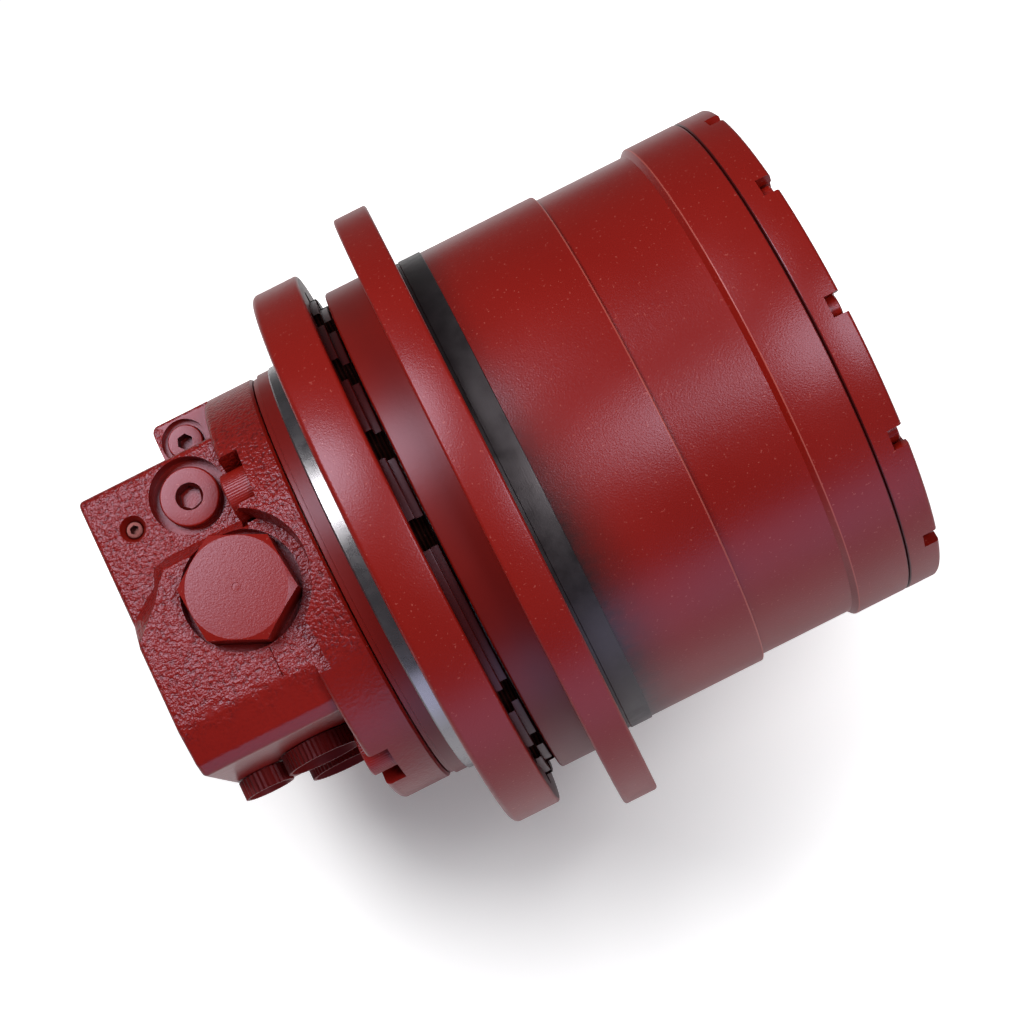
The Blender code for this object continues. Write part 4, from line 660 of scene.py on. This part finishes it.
def make_spindle():
    """The fixed housing with its frame flange, bright pilot and threaded holes."""
    profile = (
        (JOINT_X, BRAKE_BORE_R, 0.0),
        (JOINT_X, NECK_R - 6.0, 0.0),
        (JOINT_X + 0.4, NECK_R - 6.0, 0.0),
        (JOINT_X + 0.4, NECK_R - 1.2, 0.4),
        (JOINT_X + 2.6, NECK_R - 1.2, 0.0),
        (JOINT_X + 2.9, NECK_R, 0.0),
        (PILOT_X, NECK_R, 0.0),
        (PILOT_X + 0.75, PILOT_R, 0.0),
        (PILOT_END_X, PILOT_R, 0.0),
        (PILOT_END_X, PILOT_R - 0.8, 0.0),
        (0.0, PILOT_R - 0.8, 0.0),
        (0.0, FRAME_FLANGE_R, 3.0),
        (FRAME_FLANGE_END, FRAME_FLANGE_R, 1.5),
        (FRAME_FLANGE_END, SHOULDER_R, 0.0),
        (SHOULDER_X, SHOULDER_R, 0.5),
        (SHOULDER_X, LIP_R, 0.0),
        (LIP_X, LIP_R, 0.6),
        (LIP_X, SEAL_BORE_R, 0.0),
        (LIP_X - SEAL_DEPTH, SEAL_BORE_R, 0.0),
        (LIP_X - SEAL_DEPTH, BARREL_R, 0.0),
        (BARREL_END, BARREL_R, 0.0),
        (BARREL_END, NOSE_R, 0.0),
        (NOSE_X, NOSE_R, 0.0),
        (NOSE_X, NOSE_BORE_R, 0.0),
        (NOSE_FLOOR_X, NOSE_BORE_R, 0.0),
        (NOSE_FLOOR_X, SHAFT_HOLE_R, 0.0),
        (BEARING_X, SHAFT_HOLE_R, 0.0),
        (BEARING_X, BEARING_R, 0.0),
        (MOTOR_BORE_END, BEARING_R, 0.0),
        (MOTOR_BORE_END, MOTOR_BORE_R, 0.0),
        (BRAKE_BORE_END, MOTOR_BORE_R, 0.0),
        (BRAKE_BORE_END, BRAKE_BORE_R, 0.0),
    )
    piece = turned("spindle_housing_fine", profile)
    holes = [circle_place(angle, FRAME_HOLE_PCR) for angle in FRAME_HOLE_ANGLES]
    cutters = [rod(f"hole_{number}", -1, LIP_X + 1, FRAME_HOLE_R, at=at) for number, at in enumerate(holes)]
    for number, angle in enumerate(SCREW_ANGLES):
        at = circle_place(angle, SCREW_PCR)
        cutters.append(rod(f"screw_hole_{number}", JOINT_X - 1, 1.1, SCREW_HOLE_R, at=at))
    shaped(piece, joined("holes", cutters), "DIFFERENCE")
    smooth(piece)
    dressed(piece, "frame_side", "red_enamel", RED, "spindle_housing")
    ring_patch(piece, BRIGHT, (PILOT_X, PILOT_END_X), (PILOT_R - 0.4, math.inf))
    # Painted shade: the neck between the block and the pilot is painted darker
    ring_patch(piece, NECK_SHADE_RED, (JOINT_X, PILOT_X), (NECK_R - 1.5, math.inf))
    # Painted shade: the shoulders in the seal gap are painted nearly black
    ring_patch(piece, JOINT_AND_SHADE_RED, (FRAME_FLANGE_END - 0.1, LIP_X + 0.1), (116.0, SHOULDER_R + 8.0))

    def bored(at, way):
        across = beside(at, ORIGIN)
        return across < SEAL_BORE_R + 0.3 and (at.x > 0 or across < NECK_R - 2.4)

    patch(piece, BORED_IRON, bored)
    thread_patch(piece, holes, FRAME_HOLE_R)


def make_hub():
    """The rotating housing with its sprocket flange, dark pilot and stepped drum."""
    profile = (
        (HUB_X, SEAL_BORE_R, 0.0),
        (HUB_X, HUB_NECK_R, 1.2),
        (SPROCKET_X, HUB_NECK_R, 0.0),
        (SPROCKET_X, SPROCKET_R, 1.5),
        (SPROCKET_FACE_X, SPROCKET_R, 1.5),
        (SPROCKET_FACE_X, SPROCKET_PILOT_R - 0.5, 0.0),
        (SPROCKET_FACE_X + 1.6, SPROCKET_PILOT_R - 0.5, 0.0),
        (SPROCKET_FACE_X + 1.9, SPROCKET_PILOT_R, 0.0),
        (DRUM_X, SPROCKET_PILOT_R, 0.3),
        (DRUM_X, DRUM_R, 0.0),
        (WAIST_X, DRUM_R, 0.8),
        (WAIST_X, WAIST_R, 0.0),
        (BAND_X, WAIST_R, 0.0),
        (BAND_X + 2.5, BAND_R, 0.8),
        (HUB_END_X, BAND_R, 1.0),
        (HUB_END_X, SEAL_BORE_R, 0.0),
        (GEAR_SEAT_X, SEAL_BORE_R, 0.0),
        (GEAR_SEAT_X, BEARING_CUP_R, 0.0),
        (BARREL_END, BEARING_CUP_R, 0.0),
        (BARREL_END, THROAT_R, 0.0),
        (THROAT_X, THROAT_R, 0.0),
        (THROAT_X, SEAL_BORE_R, 0.0),
    )
    piece = turned("hub_housing_fine", profile)
    holes = [circle_place(15.0 + 30.0 * number, SPROCKET_HOLE_PCR) for number in range(12)]
    low, high = SPROCKET_X - 1, SPROCKET_FACE_X + 1
    bores = [rod(f"bore_{number}", low, high, SPROCKET_HOLE_R, at=at) for number, at in enumerate(holes)]
    shaped(piece, joined("bores", bores), "DIFFERENCE")
    low, narrow, wide = SPROCKET_FACE_X - 3, SPROCKET_HOLE_R - 2, SPROCKET_HOLE_R + 2
    flares = [rod(f"flare_{number}", low, high, narrow, at=at, radius_high=wide) for number, at in enumerate(holes)]
    shaped(piece, joined("flares", flares), "DIFFERENCE")
    smooth(piece)
    dressed(piece, "hub", "red_enamel", HUB_RED_WITH_PAINTED_SHADE, "hub_housing")
    # Painted highlight: pale lines on the rounded edges of the waist and the band
    ring_patch(piece, EDGE_HIGHLIGHT_RED, (WAIST_X - 0.75, WAIST_X - 0.05), (WAIST_R + 0.5, math.inf))
    ring_patch(piece, EDGE_HIGHLIGHT_RED, (BAND_X + 2.0, BAND_X + 2.9), (BAND_R - 0.6, BAND_R))
    ring_patch(piece, JOINT_AND_SHADE_RED, (HUB_END_X - 0.5, math.inf), (GAP_R, math.inf))
    ring_patch(piece, DARK, (SPROCKET_FACE_X, DRUM_X - 0.05), (SPROCKET_PILOT_R - 0.7, SPROCKET_PILOT_R + 0.7))
    # Painted shade: the hub's neck between the flanges is painted darker
    ring_patch(piece, NECK_SHADE_RED, (HUB_X + 0.3, SPROCKET_X), (HUB_NECK_R - 1.3, HUB_NECK_R + 1.3))
    # Painted shade: the hub's face towards the seal gap is painted nearly black
    ring_patch(piece, JOINT_AND_SHADE_RED, (-math.inf, HUB_X + 0.1))
    ring_patch(piece, BORED_IRON, EVERYWHERE, (-math.inf, SEAL_BORE_R + 0.3))
    thread_patch(piece, holes, SPROCKET_HOLE_R)


def make_cover():
    """The end cover with its twelve screw pockets open to the rim."""
    profile = (
        (SPIGOT_X, 0.0, 0.0),
        (SPIGOT_X, SPIGOT_R, 0.5),
        (GROOVE_X, SPIGOT_R, 0.0),
        (GROOVE_X, GROOVE_R, 0.0),
        (GROOVE_END_X, GROOVE_R, 0.0),
        (GROOVE_END_X, SPIGOT_R, 0.0),
        (COVER_X, SPIGOT_R, 0.0),
        (COVER_X, BAND_R, 1.0),
        (COVER_FACE_X, BAND_R, 1.6),
        (COVER_FACE_X, DISH_R + 1.5, 0.0),
        (COVER_FACE_X - DISH_DEPTH, DISH_R, 0.0),
        (COVER_FACE_X - DISH_DEPTH, 0.0, 0.0),
    )
    piece = turned("end_cover_fine", profile)
    low, high = COVER_FACE_X - POCKET_DEPTH, COVER_FACE_X + 1
    first = rod("pocket", low, high, POCKET_R, at=circle_place(0, POCKET_PCR))
    half = SLOT_WIDTH / 2
    slot = box("slot", (low, POCKET_PCR, -half), (high, BAND_R + 3, half))
    shaped(first, slot, "UNION")
    cutters = [copied(first, f"pocket_{angle}", (math.radians(angle), 0, 0)) for angle in POCKET_ANGLES]
    bpy.data.objects.remove(first, do_unlink=True)
    for number, angle in enumerate((90.0, 270.0)):
        at = circle_place(angle, OIL_PLUG_PCR)
        bore = rod(f"bore_{number}", SPIGOT_X - 1, high, OIL_PLUG_HOLE_R, at=at)
        spot = rod("spot", COVER_FACE_X - OIL_PLUG_SPOT_DEPTH, high, OIL_PLUG_SPOT_R, at=at)
        cutters.append(shaped(bore, spot, "UNION"))
    shaped(piece, joined("pockets", cutters), "DIFFERENCE")
    smooth(piece)
    dressed(piece, "hub", "red_enamel", RED, "end_cover")
    ring_patch(piece, BORED_IRON, (-math.inf, COVER_X - 0.1))
    ring_patch(piece, JOINT_AND_SHADE_RED, (COVER_X - 0.1, COVER_X + 0.5), (GAP_R, math.inf))


def screw_head(name, radius, low, high, socket, deep, ribs, at):
    """A cylinder head screw along the drive axis; a deep below zero puts its socket in the high end."""
    piece = slab(name, ribbed(radius, ribs, 0.15), low, high, at=at)
    face, top = (high, 1) if deep < 0 else (low, -1)
    corner = (
        (face + top * 0.5, radius - 1.2, 0.0),
        (face - top, radius + 0.3, 0.0),
        (face + top * 0.5, radius + 0.3, 0.0),
    )
    shaped(piece, turned("corner", corner, MIDDLE, at=at), "DIFFERENCE")
    ends = sorted((face + top, face + deep))
    shaped(piece, slab("socket", hexagon(socket), *ends, at=at), "DIFFERENCE")
    return smooth(piece)


def make_cover_screws():
    """The twelve low head screws that sit in the cover's pockets."""
    low, high = COVER_FACE_X - POCKET_DEPTH, COVER_FACE_X - 1.6
    first = screw_head("cover_screw", 6.5, low - 0.2, high, 6.0, -3.0, 24, circle_place(0, POCKET_PCR))
    for number, angle in enumerate(POCKET_ANGLES, 1):
        piece = copied(first, f"cover_screw_fine_{number}", (math.radians(angle), 0, 0))
        dressed(piece, "hub", "red_enamel", RED)
    bpy.data.objects.remove(first, do_unlink=True)


# The valve block

def make_block():
    """The cast valve block: flange, body with its raised pad and bevel, side block and machined seats."""
    body = slab(
        "motor_valve_block_fine",
        (
            (BLOCK_LOW_Y, BACK_Z, 4.5),
            (BLOCK_HIGH_Y, BACK_Z, 4.5),
            (BLOCK_HIGH_Y, FACE_Z, 4.5),
            (31.5, FACE_Z, 1.5),
            (25.0, PAD_Z, 2.5),
            (PAD_LOW_Y, PAD_Z, 9.0),
            (-61.0, 81.0, 5.0),
            (BLOCK_LOW_Y, 75.5, 3.5),
        ),
        BLOCK_LEFT,
        BLOCK_BODY_X + 2,
    )
    # The pad's cast edge: places along its foot, and how far the slope leans from there to its top
    edge = (
        ((-84.0, 31.5), (-0.5, -6.5)),
        ((-91.5, 29.8), (0.5, -11.5)),
        ((-95.1, 21.9), (-1.9, -11.5)),
        ((-104.2, 15.9), (0.2, -12.2)),
        ((-113.0, 8.4), (0.0, -14.2)),
    )
    outline = [(*foot, 0.0) for foot, lean in edge] + [(-113.0, 60.0, 0.0), (-84.0, 60.0, 0.0)]
    corner = slab("pad_corner", outline, FACE_Z, PAD_Z + 1, FLAT)
    for foot, lean in edge:
        nudged(corner, (*foot, PAD_Z + 1), (*lean, 0))
    shaped(body, corner, "DIFFERENCE")
    bevelled(body, 2.2, lambda at: abs(at.x - BLOCK_LEFT) < 0.05)
    side = slab(
        "side_block",
        (
            (SIDE_LEFT, 60.0, 0.0),
            (BLOCK_BODY_X + 2, 60.0, 0.0),
            (BLOCK_BODY_X + 2, SIDE_HIGH_Y, 0.0),
            (SIDE_LEFT, SIDE_HIGH_Y, 3.5),
        ),
        SIDE_BACK_Z,
        SIDE_FACE_Z,
        FLAT,
    )
    bevelled(side, 1.5, lambda at: abs(at.z - SIDE_FACE_Z) < 0.05 and at.y > 61)
    shaped(body, side, "UNION")
    flange = turned(
        "block_flange",
        (
            (BLOCK_BODY_X, 0.0, 0.0),
            (BLOCK_BODY_X, BLOCK_FLANGE_R, 2.5),
            (BLOCK_X - 1.2, BLOCK_FLANGE_R, 0.0),
            (BLOCK_X, BLOCK_FLANGE_R - 1.2, 0.0),
            (BLOCK_X, 74.0, 0.0),
            (BLOCK_X - 3.0, 74.0, 0.0),
            (BLOCK_X - 3.0, 70.0, 0.0),
            (BLOCK_X, 70.0, 0.0),
            (BLOCK_X, 20.0, 0.0),
            (-34.6, 20.0, 0.0),
            (-34.6, 0.0, 0.0),
        ),
    )
    shaped(body, flange, "UNION")
    for cutter in block_cutters():
        shaped(body, cutter, "DIFFERENCE")
    groove = ((-58.6, PAD_Z + 0.6, 0.0), (-58.0, PAD_Z - 0.5, 0.0), (-57.4, PAD_Z + 0.6, 0.0))
    shaped(body, slab("seam", groove, 28.5, 43.0, DOWN_Y), "DIFFERENCE")
    smooth(body, 38)
    dressed(body, "frame_side", "red_enamel_on_casting", CAST_RED, "motor_valve_block")

    def machined(at, way):
        seats = ((SPOOL_AT, 28.0), (RELIEF_AT, 18.4), (SIDE_AT, 11.1), (GAUGE_AT, 6.7))
        if at.z > 30 and any(over(at, place, reach) for place, reach in seats):
            return at.z < (78.8 if over(at, SPOOL_AT, 28.0) else 76.4)
        return at.x > BLOCK_X - 1.25

    patch(body, RED, machined)


def block_cutters():
    """What is milled and drilled out of the block: plug seats, screw pockets, cap spots and ports."""
    cutters = [
        rod("recess", PAD_Z + 0.2, CUT_END_Z, 32.8, MIDDLE, FLAT, SPOOL_AT, 35.6),
        box("recess_strip", (BLOCK_BODY_X - 1, PAD_LOW_Y - 6, PAD_Z + 0.2), (-36.5, -15.0, CUT_END_Z)),
        rod("plug_seat", 78.7, CUT_END_Z, SPOOL_SEAT_R, MIDDLE, FLAT, SPOOL_AT),
        rod("plug_seat_rear", -BACK_Z, CUT_END_Z, SPOOL_SEAT_R, MIDDLE, DOWN_Z, SPOOL_AT),
        rod("relief_seat", 67.5, CUT_END_Z, 18.25, MIDDLE, FLAT, RELIEF_AT),
        rod("side_seat", 36.0, CUT_END_Z, 11.0, MIDDLE, FLAT, SIDE_AT),
        rod("side_bore", 19.7, CUT_END_Z, 8.8, SMALL, FLAT, SIDE_AT),
        rod("gauge_seat", 73.2, 77.0, 4.3, SMALL, FLAT, GAUGE_AT, 6.6),
        rod("gauge_bore", 64.2, 77.0, 4.3, SMALL, FLAT, GAUGE_AT),
    ]
    low, high = SCREW_HEAD_X - 0.3, SCREW_SEAT_X + 0.3
    half = SCREW_POCKET_R
    for number, angle in enumerate(SCREW_ANGLES):
        pocket = rod(f"screw_pocket_{number}", low, high, half, MIDDLE, at=circle_place(0, SCREW_PCR))
        shaped(pocket, box("way_out", (low, SCREW_PCR, -half), (high, SCREW_PCR + 30, half)), "UNION")
        cutters.append(settle(pocket, (math.radians(angle), 0, 0)))
        at = circle_place(angle, SCREW_PCR)
        cutters.append(rod(f"screw_hole_{number}", SCREW_SEAT_X - 1, BLOCK_X + 1, SCREW_HOLE_R, at=at))
    for name, at, radius in CAPS:
        cutters.append(rod(f"spot_{name}", 65.4, 70.0, radius + 1.6, MIDDLE, DOWN_Y, at))
        cutters.append(rod(f"port_{name}", 53.7, 70.0, radius * CAP_STEM + 0.3, SMALL, DOWN_Y, at))
    return cutters


def make_block_screws():
    """The four socket head screws of the block, with knurled heads."""
    at = circle_place(0, SCREW_PCR)
    first = screw_head("block_screw", SCREW_HEAD_R, SCREW_HEAD_X, SCREW_SEAT_X, 12.0, 6.0, 64, at)
    shaped(first, rod("shank", SCREW_SEAT_X - 1, 0.5, SCREW_SHANK_R, at=at), "UNION")
    smooth(first)
    for number, angle in enumerate(SCREW_ANGLES, 1):
        piece = copied(first, f"block_screw_fine_{number}", (math.radians(angle), 0, 0))
        dressed(piece, "frame_side", "red_enamel", RED, f"block_screw_{number}")
    bpy.data.objects.remove(first, do_unlink=True)


def make_big_plug(name, node_name, turn, face):
    """A large hexagon plug: chamfered corners, a faint centre mark and a plain stem."""
    seat = face - 19.0
    flats = 23.5
    corner = flats / math.cos(math.pi / 6)
    profile = (
        (seat - 14.0, 0.0, 0.0),
        (seat - 14.0, 19.0, 0.8),
        (seat, 19.0, 0.0),
        (seat, corner, 0.0),
        (face - 1.9, corner, 0.0),
        (face, flats - 0.3, 0.4),
        (face, 2.1, 0.0),
        (face - 0.25, 1.9, 0.0),
        (face - 0.25, 1.3, 0.0),
        (face - 0.1, 0.0, 0.0),
    )
    piece = turned(name, profile, MIDDLE, turn, SPOOL_AT)
    sides = slab("sides", hexagon(2 * flats, 35.0), seat - 20, face + 1, turn, SPOOL_AT)
    shaped(piece, sides, "INTERSECT")
    smooth(piece)
    dressed(piece, "frame_side", "red_enamel", RED, node_name)


def make_socket_plugs():
    """The three socket plugs on the front of the block."""
    relief = turned(
        "relief_plug_fine",
        (
            (43.8, 0.0, 0.0),
            (43.8, 10.0, 0.6),
            (67.8, 10.0, 0.0),
            (67.8, 14.0, 0.4),
            (73.8, 14.0, 0.9),
            (73.8, 0.0, 0.0),
        ),
        MIDDLE,
        FLAT,
        RELIEF_AT,
    )
    shaped(relief, rod("lead_in", 71.3, 74.3, 4.6, SMALL, FLAT, RELIEF_AT, 6.9), "DIFFERENCE")
    shaped(relief, slab("socket", hexagon(9.8, 17.0), 63.0, 75.0, FLAT, RELIEF_AT), "DIFFERENCE")
    smooth(relief)
    dressed(relief, "frame_side", "red_enamel", RED, "relief_plug")
    # Painted shade: the socket of the relief plug is painted nearly black
    patch(relief, JOINT_AND_SHADE_RED, lambda at, way: 60 < at.z < 73.7 and over(at, RELIEF_AT, 6.6))
    side = turned(
        "side_port_plug_fine",
        ((20.0, 0.0, 0.0), (20.0, 8.5, 0.5), (39.0, 8.5, 0.7), (39.0, 0.0, 0.0)),
        MIDDLE,
        FLAT,
        SIDE_AT,
    )
    shaped(side, slab("socket", hexagon(7.0, 10.0), 32.0, 40.0, FLAT, SIDE_AT), "DIFFERENCE")
    smooth(side)
    dressed(side, "frame_side", "red_enamel", RED, "side_port_plug")
    # Painted shade: the socket of the side plug is painted nearly black
    patch(side, JOINT_AND_SHADE_RED, lambda at, way: way.z < 0.9 and at.z > 31 and over(at, SIDE_AT, 4.2))
    gauge = turned(
        "gauge_plug_fine",
        ((64.8, 0.0, 0.0), (64.8, 4.0, 0.3), (73.5, 4.0, 0.5), (73.5, 0.0, 0.0)),
        MIDDLE,
        FLAT,
        GAUGE_AT,
    )
    shaped(gauge, slab("socket", hexagon(4.0, 20.0), 69.5, 74.0, FLAT, GAUGE_AT), "DIFFERENCE")
    smooth(gauge)
    dressed(gauge, "frame_side", "machined_steel", DULL_STEEL, "gauge_plug")


def make_caps():
    """The ribbed port caps, each a short cup with a rim round a sunk face."""
    for name, at, radius in CAPS:
        piece = slab(f"{name}_fine", ribbed(radius, round(radius * 2.6), 0.5), 66.3, 75.3, DOWN_Y, at)
        shaped(piece, rod("stem", 54.0, 67.0, radius * CAP_STEM, SMALL, DOWN_Y, at), "UNION")
        shaped(piece, rod("sunk_face", 70.8, 76.0, radius - 3.2, MIDDLE, DOWN_Y, at, radius - 1.4), "DIFFERENCE")
        smooth(piece)
        dressed(piece, "frame_side", "red_painted_cap", CAP_RED, name)


# The table, the lights and the camera

def make_table():
    """A plain white table top that looks white, with a soft shadow cast by the lamps and deepened by a painted shadow;
    past +Y it is dark, for the gloss of the edges.
    """
    bpy.ops.object.select_all(action="DESELECT")
    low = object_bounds()[0].z
    bpy.ops.mesh.primitive_plane_add(size=6.0, location=(0.06, 0, low - 0.0005))
    table = start("table")
    bpy.ops.object.transform_apply(location=True, rotation=True, scale=True)
    made, tree, shader = surface("white_table", 0.9)
    place = node(tree, "ShaderNodeTexCoord")
    split = node(tree, "ShaderNodeSeparateXYZ", links={"Vector": place.outputs["Object"]})
    behind = between(tree, split.outputs["Y"], 0.24, 0.4)
    tree.links.new(blended(tree, behind, "F4F4F4", "303030"), shader.inputs["Base Color"])
    # Away from the middle of the shadow the table glows, so that it fades into the white room; its weaker glow round
    # the middle is a painted shadow
    shadow = {1: (0.005, -0.08, low)}
    away = node(tree, "ShaderNodeVectorMath", {"operation": "DISTANCE"}, shadow, {0: place.outputs["Object"]})
    strength = between(tree, away.outputs["Value"], 0.08, 0.29, 0.19, 1.0)
    glow = node(tree, "ShaderNodeEmission", links={"Strength": strength})
    both = node(tree, "ShaderNodeAddShader", links={0: shader.outputs["BSDF"], 1: glow.outputs["Emission"]})
    seen = looked_at(tree)
    mix = node(tree, "ShaderNodeMixShader", links={0: seen, 1: shader.outputs["BSDF"], 2: both.outputs["Shader"]})
    tree.links.new(mix.outputs["Shader"], tree.nodes["Material Output"].inputs["Surface"])
    table.data.materials.append(made)


def looked_at(tree):
    """One for what the camera and glass see of the background, and a little for what gloss shows of it."""
    rays = node(tree, "ShaderNodeLightPath")
    gloss = node(tree, "ShaderNodeMath", {"operation": "MULTIPLY"}, {1: 0.08}, {0: rays.outputs["Is Glossy Ray"]})
    straight = {0: rays.outputs["Is Camera Ray"], 1: rays.outputs["Is Transmission Ray"]}
    clear = node(tree, "ShaderNodeMath", {"operation": "MAXIMUM"}, links=straight)
    either = {0: clear.outputs[0], 1: gloss.outputs[0]}
    return node(tree, "ShaderNodeMath", {"operation": "MAXIMUM"}, links=either).outputs[0]


def make_lamp(name, at, size, power, tone="FFFFFF"):
    """A round soft box that faces the drive."""
    bpy.ops.object.select_all(action="DESELECT")
    bpy.ops.object.light_add(type="AREA", location=at)
    lamp = bpy.context.object
    lamp.name = name
    lamp.data.shape = "ELLIPSE"
    lamp.data.size, lamp.data.size_y = size
    lamp.data.color = colour(tone)[:3]
    lamp.data.energy = power
    lamp.rotation_euler = (Vector((0.06, 0, 0)) - Vector(at)).to_track_quat("-Z", "Y").to_euler()


def make_camera():
    """The photograph's view: from almost straight above, rolled so that the axis climbs to the right."""
    back = Vector((0, -math.sin(CAMERA_TILT), math.cos(CAMERA_TILT)))
    level_up = Vector((0, math.cos(CAMERA_TILT), math.sin(CAMERA_TILT)))
    level_right = Vector((1, 0, 0))
    right = level_right * math.cos(CAMERA_ROLL) - level_up * math.sin(CAMERA_ROLL)
    up = level_right * math.sin(CAMERA_ROLL) + level_up * math.cos(CAMERA_ROLL)
    target = Vector((CAMERA_AIM_X, 0, 0)) * MM - level_up * CAMERA_AIM_DROP * MM
    bpy.ops.object.camera_add()
    camera = bpy.context.object
    camera.location = target + back * CAMERA_DISTANCE
    camera.rotation_mode = "QUATERNION"
    camera.rotation_quaternion = Matrix((right, up, back)).transposed().to_quaternion()
    camera.data.lens = CAMERA_LENS
    camera.data.clip_start, camera.data.clip_end = 0.05, 20.0
    bpy.context.scene.camera = camera


def make_studio():
    """A dim room, white where it is looked at, with two soft boxes overhead and a large pale screen low at -Y."""
    world = bpy.data.worlds.new("room")
    world.use_nodes = True
    tree = world.node_tree
    back = tree.nodes["Background"]
    back.inputs["Color"].default_value = colour("FAF6FF")
    tree.links.new(between(tree, looked_at(tree), 0.0, 1.0, 0.04, 1.0), back.inputs["Strength"])
    bpy.context.scene.world = world
    make_lamp("soft_box_left", (-0.46, 0.77, 1.45), (1.0, 1.0), 20.5)
    make_lamp("soft_box_right", (0.76, -0.28, 1.53), (0.84, 0.84), 11.0)
    make_lamp("pale_screen", (0.06, -1.6, 0.15), (3.0, 0.9), 8.0, "DCE0FF")


make_camera()
for subpart in frame["record"]["subparts"]:
    materials = frame["nodes"][subpart["node"]].data.materials
    materials[0] = NODE_FINISHES[subpart["material_slot"]]
make_spindle()
make_hub()
make_cover()
make_cover_screws()
make_block()
make_block_screws()
make_big_plug("counterbalance_plug_front_fine", "counterbalance_plug_front", FLAT, 98.0)
make_big_plug("counterbalance_plug_rear_fine", "counterbalance_plug_rear", DOWN_Z, 97.3)
make_socket_plugs()
make_caps()
make_table()
make_studio()
bpy.context.scene.view_settings.view_transform = "Standard"
